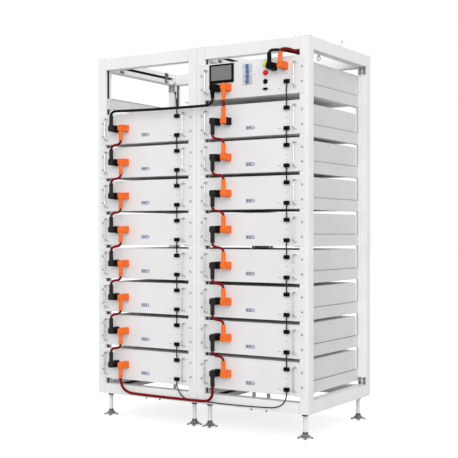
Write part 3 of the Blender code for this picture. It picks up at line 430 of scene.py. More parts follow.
# Dark grey for clips, nuts and the plugs under the beams, and painted shade on the inner faces of the side
# beams' slots.
moulded("clip_grey_and_slot_shade", (0.10, 0.10, 0.10), 0.55)
moulded("blue_plastic", (0.07, 0.17, 0.44), 0.38, gloss=0.2)
moulded("foot_rubber", (0.03, 0.03, 0.03), 0.70)
moulded("cell_blue", (0.05, 0.14, 0.30), 0.38)
jacket("black_cable", (0.008, 0.008, 0.008), 0.42)
jacket("red_cable", (0.20, 0.001, 0.003), 0.40)
lens("lamp_yellow", (0.80, 0.75, 0.005))
lens("lamp_red", (0.95, 0.001, 0.002))
display("screen_glass", (0.20, 0.20, 0.20))
ink("blue_ink", (0.012, 0.035, 0.18))
ink("grey_ink", (0.36, 0.37, 0.39))
# A near black that is painted shade in the screws' cross recesses.
ink("painted_recess_shade", (0.02, 0.02, 0.02))
rolled_copper("copper", (0.72, 0.36, 0.20))
circuit_board("board_green", (0.015, 0.12, 0.05))

# Shapes.


def circle(count):
    """Cosine and sine at even steps round a circle."""
    angles = [2 * math.pi * step / count for step in range(count)]
    return [(math.cos(angle), math.sin(angle)) for angle in angles]


def turned_to(direction):
    """The rotation that carries the z axis to a direction."""
    return Vector(UP).rotation_difference(Vector(direction))


class Shape:
    """Geometry gathered into one piece, painted part by part, given about an origin."""

    def __init__(self, origin, mirror_x=False):
        self.bm = bmesh.new()
        self.edge = self.bm.faces.layers.float.new("edge")
        self.paints = []
        self.origin = Vector(origin)
        self.stand(mirror_x)

    def stand(self, mirror_x, mirror_y=False):
        """Sets which corner of a rack the next parts go to: mirror_x is the left, mirror_y the rear."""
        self.matrix = Matrix.Translation(self.origin)
        if mirror_x:
            self.matrix = self.matrix @ Matrix.Scale(-1, 4, (1, 0, 0))
        if mirror_y:
            flip = Matrix.Scale(-1, 4, (0, 1, 0))
            self.matrix = self.matrix @ Matrix.Translation((0, RACK_DEPTH, 0)) @ flip

    def _paint(self, paint):
        """A paint's number in this piece."""
        if paint not in self.paints:
            self.paints.append(paint)
        return self.paints.index(paint)

    def _finish(self, verts, paint, edge, steps=2):
        """Paints the faces of new vertices and rounds their sharp edges."""
        index = self._paint(paint)
        for vert in verts:
            for face in vert.link_faces:
                face.material_index = index
        self._round(verts, edge, steps)

    def _round(self, verts, edge, steps=2):
        """Rounds the sharp edges between new vertices and marks the rounded faces."""
        if not edge:
            return
        faces = list(dict.fromkeys(face for vert in verts for face in vert.link_faces))
        bmesh.ops.recalc_face_normals(self.bm, faces=faces)
        around = dict.fromkeys(side for face in faces for side in face.edges)
        sharp = [side for side in around if side.calc_face_angle(0.0) > ROUNDED_ANGLE]
        rule = {"profile": 0.5, "affect": "EDGES", "clamp_overlap": True, "material": -1}
        made = bmesh.ops.bevel(self.bm, geom=sharp, offset=edge, segments=steps, **rule)
        for face in made["faces"]:
            face[self.edge] = 1.0

    def block(self, low, high, paint, edge=0.0005, steps=2):
        """A box with rounded edges."""
        low, high = Vector(low), Vector(high)
        span = [abs(b - a) for a, b in zip(low, high)]
        matrix = self.matrix @ Matrix.LocRotScale((low + high) / 2, None, span)
        made = bmesh.ops.create_cube(self.bm, size=1.0, matrix=matrix)
        self._finish(made["verts"], paint, edge, steps)

    def plate(self, spot, half, depth, paint, edge=0.0005, steps=2):
        """A box about an x and z, with half sizes along x and z, from one depth in y to another."""
        (x, z), (half_x, half_z), (near, far) = spot, half, depth
        self.block((x - half_x, near, z - half_z), (x + half_x, far, z + half_z), paint, edge, steps)

    def rod(self, start, end, radius, paint, sides, edge=0.0004):
        """A round or many-sided bar between two points."""
        start, end = Vector(start), Vector(end)
        matrix = self.matrix @ Matrix.LocRotScale((start + end) / 2, turned_to(end - start), None)
        sizes = {"radius1": radius, "radius2": radius, "depth": (end - start).length}
        made = bmesh.ops.create_cone(self.bm, cap_ends=True, segments=sides, matrix=matrix, **sizes)
        self._finish(made["verts"], paint, edge)

    def prism(self, outline, axis, low, high, paint, edge, inner=(), inner_paint="painted_slot_shade"):
        """An outline run along an axis; the sides that inner numbers have their own paint."""
        index = "xyz".index(axis)
        rings = []
        for level in (low, high):
            ring = []
            for pair in outline:
                point = list(pair)
                point.insert(index, level)
                ring.append(self.bm.verts.new(self.matrix @ Vector(point)))
            rings.append(ring)
        self.bm.faces.new(rings[0])
        self.bm.faces.new(reversed(rings[1]))
        self._finish(rings[0] + rings[1], paint, 0.0)
        for corner in range(len(outline)):
            after = (corner + 1) % len(outline)
            sides = (rings[0][corner], rings[0][after], rings[1][after], rings[1][corner])
            face = self.bm.faces.new(sides)
            face.material_index = self._paint(inner_paint if corner in inner else paint)
        self._round(rings[0] + rings[1], edge)

    def turned(self, profile, foot, direction, paint, sides, hollow=False):
        """A solid of revolution from (radius, height) points; a hollow one's profile closes on itself."""
        matrix = self.matrix @ Matrix.LocRotScale(Vector(foot), turned_to(direction), None)
        rings = []
        for radius, height in profile:
            points = [Vector((radius * across, radius * beside, height)) for across, beside in circle(sides)]
            rings.append([self.bm.verts.new(matrix @ point) for point in points])
        self._skin(rings, paint, hollow)

    def _skin(self, rings, paint, closed):
        """Joins rings of vertices into a tube, with flat ends unless it closes on itself."""
        count = len(rings[0])
        following = rings[1:] + rings[:1] if closed else rings[1:]
        for ring, after in zip(rings, following):
            for side in range(count):
                other = (side + 1) % count
                self.bm.faces.new((ring[side], ring[other], after[other], after[side]))
        if not closed:
            self.bm.faces.new(list(reversed(rings[0])))
            self.bm.faces.new(rings[-1])
        self._finish([vert for ring in rings for vert in ring], paint, 0.0)

    def tube(self, path, radius, paint, sides, closed=False):
        """A round bar along a path of points."""
        points = [Vector(point) for point in path]
        count = len(points)
        rings, across = [], None
        for index, point in enumerate(points):
            before = points[index - 1] if index or closed else point
            after = points[(index + 1) % count] if index < count - 1 or closed else point
            along = (after - before).normalized()
            if across is None:
                across = along.orthogonal().normalized()
            across = (across - along * across.dot(along)).normalized()
            beside = along.cross(across)
            offsets = [across * cosine + beside * sine for cosine, sine in circle(sides)]
            rings.append([self.bm.verts.new(self.matrix @ (point + offset * radius)) for offset in offsets])
        self._skin(rings, paint, closed)

    def ring(self, centre, major, minor, axis, paint, sides, wire_sides):
        """A closed round ring about an axis."""
        turn = turned_to(axis)
        path = [Vector(centre) + turn @ Vector((major * x, major * y, 0)) for x, y in circle(sides)]
        self.tube(path, minor, paint, wire_sides, closed=True)

    def bolt(self, spot, direction, radius, paint="zinc", height=0.004):
        """A hexagon head on its washer, standing on a surface."""
        spot, direction = Vector(spot), Vector(direction)
        self.rod(spot, spot + direction * 0.001, radius * 1.35, paint, 24, 0.0002)
        base = spot + direction * 0.0008
        self.rod(base, base + direction * height, radius, paint, 6, 0.0004)

    def screw(self, spot, direction, radius):
        """A zinc-plated domed head standing on a surface, its cross recess drawn as dark blocks of painted
        shade.
        """
        spot, direction = Vector(spot), Vector(direction)
        dome, height = ((1, 0), (1, 0.3), (0.9, 0.62), (0.62, 0.9), (0.3, 1)), radius * 0.6
        profile = [(radius * across, height * up) for across, up in dome]
        self.turned(profile, spot, direction, "zinc", 20)
        top = spot + direction * height
        along = direction.orthogonal().normalized()
        for arm in (along, direction.cross(along)):
            span = arm * radius * 0.5
            side = direction.cross(arm).normalized() * radius * 0.13
            depth = direction * radius * 0.10
            low, high = top - span - side - depth * 4, top + span + side + depth * 0.4
            self.block(low, high, "painted_recess_shade", 0.0)

    def piece(self, name, replaces=(), body=BODY):
        """Makes the object, moving with a body and standing for the named nodes."""
        bmesh.ops.recalc_face_normals(self.bm, faces=self.bm.faces)
        mesh = bpy.data.meshes.new(name)
        self.bm.to_mesh(mesh)
        self.bm.free()
        for paint in self.paints:
            mesh.materials.append(FINISHES[paint])
        mesh.shade_smooth()
        mesh.set_sharp_from_angle(angle=SHARP_ANGLE)
        made = bpy.data.objects.new(name, mesh)
        bpy.context.scene.collection.objects.link(made)
        made.modifiers.new("shading", "WEIGHTED_NORMAL").keep_sharp = True
        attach(made, body)
        if replaces:
            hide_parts(*replaces)
        return made


def bent(corners, radius):
    """A path through corner points with each inner corner rounded."""
    points = [Vector(corner) for corner in corners]
    path = [points[0]]
    for before, corner, after in zip(points, points[1:], points[2:]):
        back, on = (before - corner).normalized(), (after - corner).normalized()
        reach = radius / math.tan(back.angle(on) / 2)
        start, end = corner + back * reach, corner + on * reach
        for step in range(BEND_STEPS + 1):
            t = step / BEND_STEPS
            path.append(start * (1 - t) ** 2 + corner * 2 * t * (1 - t) + end * t**2)
    path.append(points[-1])
    return path


# Cables.


def smooth_path(route, spacing):
    """Evenly spaced points on a smooth curve through the route's own points."""
    points = [Vector(point) for point in route]
    padded = [2 * points[0] - points[1], *points, 2 * points[-1] - points[-2]]
    dense = []
    for before, start, end, after in zip(padded, padded[1:], padded[2:], padded[3:]):
        for step in range(CURVE_STEPS):
            t = step / CURVE_STEPS
            even = 2 * start + (end - before) * t + (2 * before - 5 * start + 4 * end - after) * t**2
            dense.append(0.5 * (even + (3 * start - 3 * end + after - before) * t**3))
    dense.append(points[-1])
    lengths = [0.0]
    for start, end in zip(dense, dense[1:]):
        lengths.append(lengths[-1] + (end - start).length)
    count = max(2, round(lengths[-1] / spacing))
    path, index = [], 0
    for step in range(count + 1):
        target = lengths[-1] * step / count
        while index < len(lengths) - 2 and lengths[index + 1] < target:
            index += 1
        share = (target - lengths[index]) / (lengths[index + 1] - lengths[index])
        path.append(dense[index].lerp(dense[index + 1], min(1.0, share)))
    return path, lengths[-1]


def cable(
    name, origin, route, diameter, paint, replaces=()
):
    """A cable along a smooth curve from its exit, the first point of a route about an origin."""
    route = [origin + Vector(point) for point in route]
    path, length = smooth_path(route, min(CABLE_STEP, CABLE_STEP_PER_DIAMETER * diameter))
    curve = bpy.data.curves.new(name, "CURVE")
    curve.dimensions = "3D"
    curve.bevel_depth = diameter / 2
    curve.bevel_resolution = 4
    curve.use_fill_caps = True
    spline = curve.splines.new("POLY")
    spline.points.add(len(path) - 1)
    for point, spot in zip(spline.points, path):
        point.co = (*spot, 1.0)
    curve.materials.append(FINISHES[paint])
    made = bpy.data.objects.new(name, curve)
    bpy.context.scene.collection.objects.link(made)
    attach(made, BODY)
    if replaces:
        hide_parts(*replaces)


def points_from(base, *offsets):
    """Points at offsets in millimetres from a base point."""
    return [tuple(start + step / 1000 for start, step in zip(base, offset)) for offset in offsets]


def seam_x(side, x):
    """An x of one rack, from the seam between the racks."""
    return x + (RACKS[side] - SEAM).x


def build_link_cables():
    """The cables that join the racks: power at the top and the bottom, and signal at the bottom."""
    start, end = seam_x("left", LEFT_SOCKET_X), seam_x("right", LEFT_SOCKET_X)
    low, high = TOP_MODULE_Z + PLUG_LENGTH + GAP, BOX_PANEL_Z + BOX_INPUT_Z - SHORT_PLUG_LENGTH - GAP
    rise = [(0, 0, 0), (0, 0, 4.5), (7, 0, 13), (18, 0, 17), (40, 0, 17.5)]
    span = [(130, 0, 14.5), (260, 0, 12), (390, 0, 10.5), (470, 0, 10.5)]
    route = [
        *points_from((start, PLUG_Y, low), *rise, *span),
        *points_from((end, PLUG_Y, low), (-25, 0, 12), (-10, 0, 17.5), (-2, 0, 27)),
        *points_from((end, PLUG_Y, high), (0, 0, -4.5), (0, 0, 0)),
    ]
    nodes = ("top_power_link",)
    cable("top_power_link_cable", SEAM, route, POWER_DIAMETER, "black_cable", nodes)

    start, low = seam_x("left", RIGHT_SOCKET_X), module_z(MODULE_COUNT) - PLUG_LENGTH - GAP
    fall = [(0, -43.5, 68), (4.5, -37, 44), (14, -29.5, 27.5), (35, -22, 17)]
    span = [(80, -18, 14), (205, -18, 13), (330, -18, 13.5)]
    climb = [(-57, -19.5, 15.5), (-29, -25, 23.5), (-11, -33, 40), (-1.5, -41.5, 60), (0, -43.5, 71)]
    route = [
        (start, PLUG_Y, low),
        *points_from((start, 0, 0), *fall, *span),
        *points_from((end, 0, 0), *climb),
        (end, PLUG_Y, low),
    ]
    nodes = ("bottom_power_link",)
    cable("bottom_power_link_cable", SEAM, route, POWER_DIAMETER, "red_cable", nodes)

    start, end = seam_x("left", SIGNAL_X), seam_x("right", SIGNAL_X)
    low = module_z(MODULE_COUNT) + LOWER_SIGNAL_Z - SIGNAL_HEIGHT / 2 - GAP
    fall = [(1.2, -8, 67), (6.5, -6.5, 48), (20, -5, 28), (48, -5, 14.5)]
    span = [(115, -5, 11), (220, -5, 9.5), (330, -5, 10.5)]
    climb = [(-82, -5, 14), (-43, -5, 20.5), (-19, -5, 34), (-5, -6.5, 54), (-0.8, -8, 68)]
    route = [
        *points_from((start, SIGNAL_Y, low), (0, 0, 0), (0, 0, -4)),
        *points_from((start, 0, 0), *fall, *span),
        *points_from((end, 0, 0), *climb),
        *points_from((end, SIGNAL_Y, low), (0, 0, -4), (0, 0, 0)),
    ]
    nodes = ("bottom_signal_link",)
    cable("bottom_signal_link_cable", SEAM, route, SIGNAL_DIAMETER, "black_cable", nodes)


def lead_connector(pole, paint):
    """The flat connector on the rear end of an output lead, with grip ribs and a latch."""
    node = f"output_{pole}_connector"
    low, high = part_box(node)
    shape = Shape((low + high) / 2)
    x, y, z = (high - low) / 2
    shape.plate((0, 0), (x, z), (-y * 0.55, y), "black_plastic", 0.0015, 3)
    shape.rod((0.0046, -y, 0), (0.0046, -y * 0.5, 0), 0.0052, "black_plastic", 24)
    shape.block((-x + 0.003, y * 0.35, z * 0.55), (x - 0.003, y * 0.8, z), paint, 0.0003)
    for rib in range(5):
        start = -y * 0.42 + rib * 0.0036
        shape.plate((0, 0), (x, z), (start, start + 0.0016), paint, 0.0004)
    return shape.piece(f"{node}_body", [node])


def build_output_leads():
    """The leads from the control box: under the front beam and back along the side beam."""
    run_x = seam_x("right", INNER_X) - 0.007
    start_z = BOX_PANEL_Z + BOX_OUTPUT_Z + SHORT_PLUG_LENGTH + GAP
    # Each lead's socket, its run's height, its paints, and its points up to the side beam and into its run.
    leads = {
        "negative": (
            NEGATIVE_OUTPUT_X,
            BEAM_TOP_Z + 0.027,
            "black_cable",
            "black_plastic",
            [(3.2, -41.5, 12.7), (10.7, -37, 16.2), (24.7, -31, 16.7), (39.7, -24, 15.7)]
            + [(57.7, -14.5, 13.2), (72.7, -3, 9.2), (81.5, 12, 7.7), (84, 35, 6.7), (86.5, 55, 10)]
            + [(91.5, 80, 24)],
            [(-1.5, 100, -3.5), (0, 120, 0)],
        ),
        "positive": (
            POSITIVE_OUTPUT_X,
            BEAM_TOP_Z + 0.04,
            "red_cable",
            "orange_plastic",
            [(3.2, -42.5, 12.7), (10.7, -38.5, 16.2), (21.7, -30.5, 16.2), (32.2, -19.5, 14.2)]
            + [(41.7, -5, 9.7), (47, 12, 7.7), (48.7, 34, 7.7), (49.7, 56, 15), (53.3, 78, 40)],
            [(0, 98, -4), (0, 118, 0)],
        ),
    }
    for pole, (socket_x, run_z, paint, plug_paint, dip, turn) in leads.items():
        x = seam_x("right", socket_x)
        route = [
            *points_from((x, PLUG_Y, start_z), (0, 0, 0), (0, 0, 5.5)),
            *points_from((x, 0, start_z), *dip),
            *points_from((run_x, 0, run_z), *turn, (0, 280, -1.2), (0, 440, 0), (0, 468, 0)),
        ]
        name, nodes = f"output_{pole}_lead", (f"output_{pole}_lead",)
        pieces = [lead_connector(pole, plug_paint)]
        cable(f"{name}_cable", SEAM, route, POWER_DIAMETER, paint, nodes)


def build_jumpers():
    """The short power and signal cables between neighbouring modules."""
    for side in SIDES:
        start, end = (RIGHT_SOCKET_X, LEFT_SOCKET_X) if side == "left" else (LEFT_SOCKET_X, RIGHT_SOCKET_X)
        toward = math.copysign(1.0, end - start)
        for number in range(1, MODULE_COUNT):
            high = module_z(number) - PLUG_LENGTH - GAP
            low = module_z(number + 1) + PLUG_LENGTH + GAP
            bend = [(toward * 16.5, -0.8, 1.2), (toward * 36, -0.8, -1.4)]
            route = [
                *points_from((start, PLUG_Y, high), (0, 0, 0), (0, 0, -3.5), (toward * 5.5, -0.4, -12)),
                *points_from((start, PLUG_Y, (high + low) / 2), *bend),
                *points_from((end, PLUG_Y, low), (-toward * 6, -0.4, 12), (0, 0, 3.5), (0, 0, 0)),
            ]
            name, diameter = f"{side}_power_jumper_{number}", POWER_DIAMETER - 0.001
            cable(name, RACKS[side], route, diameter, "red_cable", ())
    for side in SIDES:
        for number in range(1, MODULE_COUNT):
            high, low = module_z(number) + LOWER_SIGNAL_Z, module_z(number + 1) + UPPER_SIGNAL_Z
            signal_jumper(f"{side}_signal_jumper_{number}", side, high, low)
    high, low = BOX_PANEL_Z + BOX_SIGNAL_Z, TOP_MODULE_Z + UPPER_SIGNAL_Z
    signal_jumper("control_signal_jumper", "right", high, low)


def signal_jumper(name, side, upper, lower):
    """A short signal cable that falls from one connector to the next, given their middles' heights."""
    high, low = upper - SIGNAL_HEIGHT / 2 - GAP, lower + SIGNAL_HEIGHT / 2 + GAP
    # Each point's sideways and forward offset, and its share of the fall.
    bends = [(0, 0, 0), (0, 0, 0.12), (-0.0012, 0.0006, 0.35), (0.00048, 0.0008, 0.65)]
    bends += [(0, 0, 0.88), (0, 0, 1)]
    route = [(SIGNAL_X + x, SIGNAL_Y - y, high - share * (high - low)) for x, y, share in bends]
    cable(name, RACKS[side], route, SIGNAL_DIAMETER, "black_cable", ())


def build_spare_signal_lead():
    """The signal lead that rises from the top left module and is clipped in the free bay."""
    start = (SIGNAL_X, SIGNAL_Y, TOP_MODULE_Z + UPPER_SIGNAL_Z + SIGNAL_HEIGHT / 2 + GAP)
    near, far, sag = Vector((0.1560, 0.014, 1.2640)), Vector((-0.2130, 0.5150, 1.3700)), 0.04
    route = points_from(start, (0, 0, 0), (0, 0, 6), (0, 0, 35), (-1.2, 1.8, 56))
    for step in range(11):
        t = step / 10
        route.append(near.lerp(far, t) - Vector((0, 0, 4 * sag * t * (1 - t))))
    cable("spare_signal_lead", RACKS["left"], route, SIGNAL_DIAMETER, "black_cable")


# Racks.


def post_outline():
    """A folded post's section in x and y, with the slot in its inner face and room for the foot's stud."""
    slot_near, slot_far, slot_depth = 0.013, 0.026, 0.028
    return [
        (INNER_X, 0),
        (HALF_WIDTH, 0),
        (HALF_WIDTH, POST_SIZE),
        (INNER_X + STUD_NOTCH, POST_SIZE),
        (INNER_X + STUD_NOTCH, POST_SIZE - STUD_NOTCH / 2),
        (INNER_X, POST_SIZE - STUD_NOTCH / 2),
        (INNER_X, slot_far),
        (INNER_X + slot_depth, slot_far),
        (INNER_X + slot_depth, slot_near),
        (INNER_X, slot_near),
    ]


def add_top_bolt(shape, x, y, z=POST_HEIGHT):
    """A bolt that stands on top of the frame."""
    shape.bolt((x, y, z), UP, TOP_BOLT_RADIUS, "zinc", TOP_BOLT_HEIGHT)


def build_portal(side, end):
    """A front or rear pair of posts with cross beams, foot plates, weld nuts and two plugs underneath."""
    shape = Shape(RACKS[side])
    rear = end == "rear"
    cap = 0.0015
    for mirror_x in (False, True):
        shape.stand(mirror_x, rear)
        # The slot's inner faces are painted near black: painted shade in the slot.
        shape.prism(post_outline(), "z", 0.0, POST_HEIGHT - cap, "white_paint", 0.0012, inner=(6, 7, 8))
        low = (INNER_X, POST_SIZE - STUD_NOTCH / 2, BEAM_HEIGHT + 0.001)
        shape.block(low, (INNER_X + STUD_NOTCH, POST_SIZE, POST_HEIGHT - cap), "white_paint", 0.0004)
        low = (INNER_X, 0, POST_HEIGHT - cap)
        shape.block(low, (HALF_WIDTH, POST_SIZE, POST_HEIGHT), "white_paint", 0.0006)
        shape.block((0.2000, 0.025, -0.003), (INNER_X - GAP, 0.066, -GAP), "zinc", 0.0006)
        shape.rod((FOOT_X, FOOT_Y, -0.013), (FOOT_X, FOOT_Y, -0.0004), 0.0125, "clip_grey_and_slot_shade", 6, 0.0008)
        add_top_bolt(shape, 0.2430, TOP_BOLT_Y)
    shape.stand(False, rear)
    reach, back, notch = INNER_X - GAP, POST_SIZE - GAP, STUD_NOTCH * 0.7
    right_half = [(reach, GAP), (reach, back - notch), (reach - notch, back - notch), (reach - notch, back)]
    plan = right_half + [(-x, y) for x, y in reversed(right_half)]
    shape.prism(plan, "z", GAP, LOWER_CROSS_HEIGHT - GAP, "white_paint", 0.0012)
    high = (reach, back, BEAM_TOP_Z + BEAM_HEIGHT - GAP)
    shape.block((-reach, GAP, BEAM_TOP_Z + GAP), high, "white_paint", 0.0012)
    for x in (-0.2020, 0.2020):
        add_top_bolt(shape, x, TOP_BOLT_Y, POST_HEIGHT - GAP)
    for x in (-0.001, 0.069):
        shape.rod((x, 0.006, 0.0004), (x, 0.006, -0.0055), 0.0038, "clip_grey_and_slot_shade", 16)
    shape.piece(f"{side}_{end}_portal", [f"{side}_{end}_frame"])


def build_side_beam(side, hand, level):
    """A top or bottom side beam with its cable slot; a top one has a lifting eye."""
    shape = Shape(RACKS[side], mirror_x=hand == "left")
    low_z = BEAM_TOP_Z if level == "top" else 0.0
    middle = low_z + BEAM_HEIGHT / 2
    start, end = POST_SIZE + GAP, RACK_DEPTH - POST_SIZE - GAP
    half_slot, depth, slot_end = 0.0055, 0.025, 0.02
    if level == "bottom":
        for near, far in ((start, start + STUD_NOTCH), (end - STUD_NOTCH, end)):
            low = (INNER_X + STUD_NOTCH, near, 0.0)
            shape.block(low, (HALF_WIDTH, far, BEAM_HEIGHT), "white_paint", 0.0008)
        start, end, slot_end = start + STUD_NOTCH, end - STUD_NOTCH, slot_end - STUD_NOTCH
    high_z = low_z + BEAM_HEIGHT
    slot_low, slot_high, slot_back = middle - half_slot, middle + half_slot, INNER_X + depth
    outline = [(INNER_X, low_z), (HALF_WIDTH, low_z), (HALF_WIDTH, high_z), (INNER_X, high_z)]
    outline += [(INNER_X, slot_high), (slot_back, slot_high), (slot_back, slot_low), (INNER_X, slot_low)]
    # The slot's inner faces are painted dark grey: painted shade in the slot.
    shape.prism(outline, "y", start, end, "white_paint", 0.0011, inner=(4, 5, 6), inner_paint="clip_grey_and_slot_shade")
    for near, far in ((start + GAP, start + slot_end), (end - slot_end, end - GAP)):
        low = (INNER_X + GAP, near, slot_low - GAP)
        shape.block(low, (slot_back, far, slot_high + GAP), "white_paint", 0.0005)
    if level == "top":
        foot = (HALF_WIDTH - POST_SIZE / 2, EYE_Y, POST_HEIGHT)
        collar = [(0.015, -0.0005), (0.015, 0.0012), (0.0105, 0.002), (0.01, 0.0038), (0.005, 0.0044)]
        shape.turned(collar, foot, UP, "white_paint", 32)
        centre = (foot[0], EYE_Y, POST_HEIGHT + 0.018)
        shape.ring(centre, 0.01375, 0.0042, (1, 0, 0), "white_paint", 48, 16)
        for y in (0.065, 0.5000):
            add_top_bolt(shape, foot[0] + 0.008, y)
    shape.piece(f"{side}_{level}_{hand}_side_beam", [f"{side}_{level}_{hand}_beam"])


def build_brackets(side):
    """The bolted corner plates, beam bolts and cable clips inside the frame."""
    shape = Shape(RACKS[side])
    near, far = POST_SIZE + GAP, POST_SIZE + GAP + 0.0025
    for mirror_x in (False, True):
        for mirror_y in (False, True):
            shape.stand(mirror_x, mirror_y)
            for low_z, high_z in ((1.3750, BEAM_TOP_Z - 0.0005), (BEAM_HEIGHT + 0.0005, 0.082)):
                shape.block((INNER_X + 0.0005, near, low_z), (0.2595, far, high_z), "case_grey", 0.0006)
                middle = (low_z + high_z) / 2
                for x in (0.2300, 0.2500):
                    for z in (middle - 0.0078, middle + 0.0078):
                        shape.bolt((x, far, z), (0, 1, 0), 0.0058, "dark_steel_and_bend_shade")
            for y, z in ((0.048, BEAM_TOP_Z + 0.008), (0.062, 0.04)):
                shape.bolt((INNER_X - GAP, y, z), (-1, 0, 0), 0.0058, height=0.005)
            for base in (BEAM_TOP_Z, 0.0):
                clip_top = base + (BEAM_HEIGHT - 0.002 if mirror_y else 0.023)
                low = (INNER_X - 0.0045, 0.1040, base + 0.002)
                shape.block(low, (INNER_X - GAP, 0.1270, clip_top), "clip_grey_and_slot_shade", 0.0012)
                shape.bolt((INNER_X - 0.0044, 0.1155, base + 0.011), (-1, 0, 0), 0.005, "zinc", 0.003)
    shape.piece(f"{side}_brackets_and_clips")


def build_runners(side, hand):
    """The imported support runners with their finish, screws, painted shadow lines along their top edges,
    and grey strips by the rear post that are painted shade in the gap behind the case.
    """
    finish_packed(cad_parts[f"{side}_{hand}_runners"], "case_grey")
    shape = Shape(RACKS[side], mirror_x=hand == "left")
    levels = [BOX_RUNNER_Z] + [module_z(n) + CASE_BOTTOM - 0.0025 for n in range(1, MODULE_COUNT + 1)]
    for z in levels:
        for y in (0.033, RACK_DEPTH - 0.033):
            for height in (0.016, 0.038):
                shape.screw((INNER_X - 0.0023, y, z + height), (-1, 0, 0), 0.003)
        # A thin dark strip on each runner's top edge: a painted shadow line.
        low = (INNER_X - 0.0042, POST_SIZE + 0.001, z + RUNNER_HEIGHT + 0.0001)
        high = (INNER_X - GAP, RACK_DEPTH - POST_SIZE - 0.013, z + RUNNER_HEIGHT + 0.002)
        shape.block(low, high, "painted_gap_shade")
    top = BEAM_TOP_Z - 0.034
    # Two grey strips fill the gap between the case's rear and the rear post: painted shade seen through that
    # gap.
    for near, colour in ((RACK_DEPTH - 0.0516, "case_grey"), (RACK_DEPTH - 0.0464, "grey_plastic")):
        low = (INNER_X - 0.0044, near, levels[-1])
        shape.block(low, (INNER_X - 0.0005, near + 0.005, top), colour)
    shape.piece(f"{side}_{hand}_runner_fittings")


def finish_packed(node, paint):
    """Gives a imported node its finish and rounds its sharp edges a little."""
    node.material_slots[0].material = FINISHES[paint]
    bevel = node.modifiers.new("edges", "BEVEL")
    bevel.width = PACKED_BEVEL
    bevel.segments = 2
    bevel.limit_method = "ANGLE"
    bevel.angle_limit = PACKED_BEVEL_ANGLE
    bevel.harden_normals = False


def build_foot(side, end, hand):
    """A levelling foot on its own body: a threaded stud, a nut and a pad with four claws."""
    y = FOOT_Y if end == "front" else RACK_DEPTH - FOOT_Y
    origin = RACKS[side] + Vector((FOOT_X if hand == "right" else -FOOT_X, y, 0))
    shape = Shape(origin)
    pitch, top, bottom = 0.002, 0.028, -0.08
    crest, root = 0.008, 0.0078
    profile = [(0.007, top)]
    for turn in range(int((top - bottom) / pitch)):
        z = top - 0.0006 - turn * pitch
        profile += [(crest, z), (crest, z - 0.55 * pitch), (root, z - 0.65 * pitch), (root, z - 0.9 * pitch)]
    shape.turned(profile[::-1], (0, 0, 0), UP, "stud_zinc", 24)
    shape.rod((0, 0, -0.083), (0, 0, -0.074), 0.0108, "clip_grey_and_slot_shade", 6, 0.001)
    hub = [(0.017, -0.096), (0.0185, -0.0935), (0.016, -0.088), (0.012, -0.0845), (0.0115, -0.0825)]
    shape.turned([*hub, (0.0095, -0.0822)], (0, 0, 0), UP, "cast_iron", 32)
    claw = [(0.008, -0.0835), (0.014, -0.085), (0.022, -0.0925), (0.03, -0.095), (0.0316, -0.0965)]
    claw += [(0.0316, -0.0985), (0.025, -0.0985), (0.019, -0.096), (0.008, -0.0945)]
    for step in range(4):
        shape.matrix = Matrix.Translation(origin) @ Matrix.Rotation(math.radians(28 + 90 * step), 4, "Z")
        shape.prism(claw, "y", -0.0058, 0.0058, "cast_iron", 0.0012)
        shape.block((0.0225, -0.0062, -0.1000), (0.0312, 0.0062, -0.0975), "foot_rubber", 0.0008)
    node = f"{side}_{end}_{hand}_foot"
    shape.piece(f"{node}_leveller", [node], node)


# Module and control box fronts.


def add_slab(shape, low_x, high_x, low_z, high_z):
    """A rectangle of panel sheet."""
    shape.block((low_x, PANEL_FRONT, low_z), (high_x, PANEL_BACK, high_z), "panel_white", 0.0)


def add_panel_lip(shape, height):
    """The folded top lip of a front panel, parted from the sheet below by a fine groove."""
    half = height / 2
    groove = half - PANEL_LIP
    low = (-PANEL_HALF, PANEL_FRONT + 0.0002, groove + 0.0007)
    shape.block(low, (PANEL_HALF, PANEL_BACK, half), "panel_white", 0.0005)
    low = (-PANEL_HALF + 0.0006, PANEL_FRONT + 0.0009, groove - 0.001)
    shape.block(low, (PANEL_HALF - 0.0006, PANEL_BACK, groove + 0.0015), "panel_white", 0.0)


def add_panel_fittings(shape):
    """The ear screws and the two handles of a front panel."""
    for x in (-EAR_SCREW_X, EAR_SCREW_X):
        for z in (-EAR_SCREW_Z, EAR_SCREW_Z):
            shape.rod((x, PANEL_BACK, z), (x, PANEL_FRONT - 0.0006, z), 0.0052, "zinc", 24, 0.0002)
            shape.screw((x, PANEL_FRONT - 0.0005, z), FORWARD, 0.004)
    leg_end, straight = HANDLE_BAR_Y + HANDLE_BEND + 0.001, HANDLE_HALF - HANDLE_BEND - 0.0006
    for x in (-HANDLE_X, HANDLE_X):
        shape.rod((x, HANDLE_BAR_Y, -straight), (x, HANDLE_BAR_Y, straight), 0.0029, "handle_steel", 16, 0.0)
        for z in (-HANDLE_HALF, HANDLE_HALF):
            bar_end = z - math.copysign(HANDLE_BEND + 0.001, z)
            corner = [(x, leg_end, z), (x, HANDLE_BAR_Y, z), (x, HANDLE_BAR_Y, bar_end)]
            shape.rod((x, PANEL_BACK, z), (x, leg_end, z), 0.003, "handle_steel", 12, 0.0)
            # The upper bends take the darker steel: painted shade.
            shape.tube(bent(corner, HANDLE_BEND), 0.003, "dark_steel_and_bend_shade" if z > 0 else "handle_steel", 12)
            shape.rod((x, PANEL_BACK, z), (x, PANEL_FRONT - 0.0012, z), 0.0044, "handle_steel", 20)


def add_panel(shape, height):
    """A whole front panel with its lip, ear screws and handles."""
    high = (PANEL_HALF, PANEL_BACK, height / 2 - PANEL_LIP)
    shape.block((-PANEL_HALF, PANEL_FRONT, -height / 2), high, "panel_white", 0.0005)
    add_panel_lip(shape, height)
    add_panel_fittings(shape)


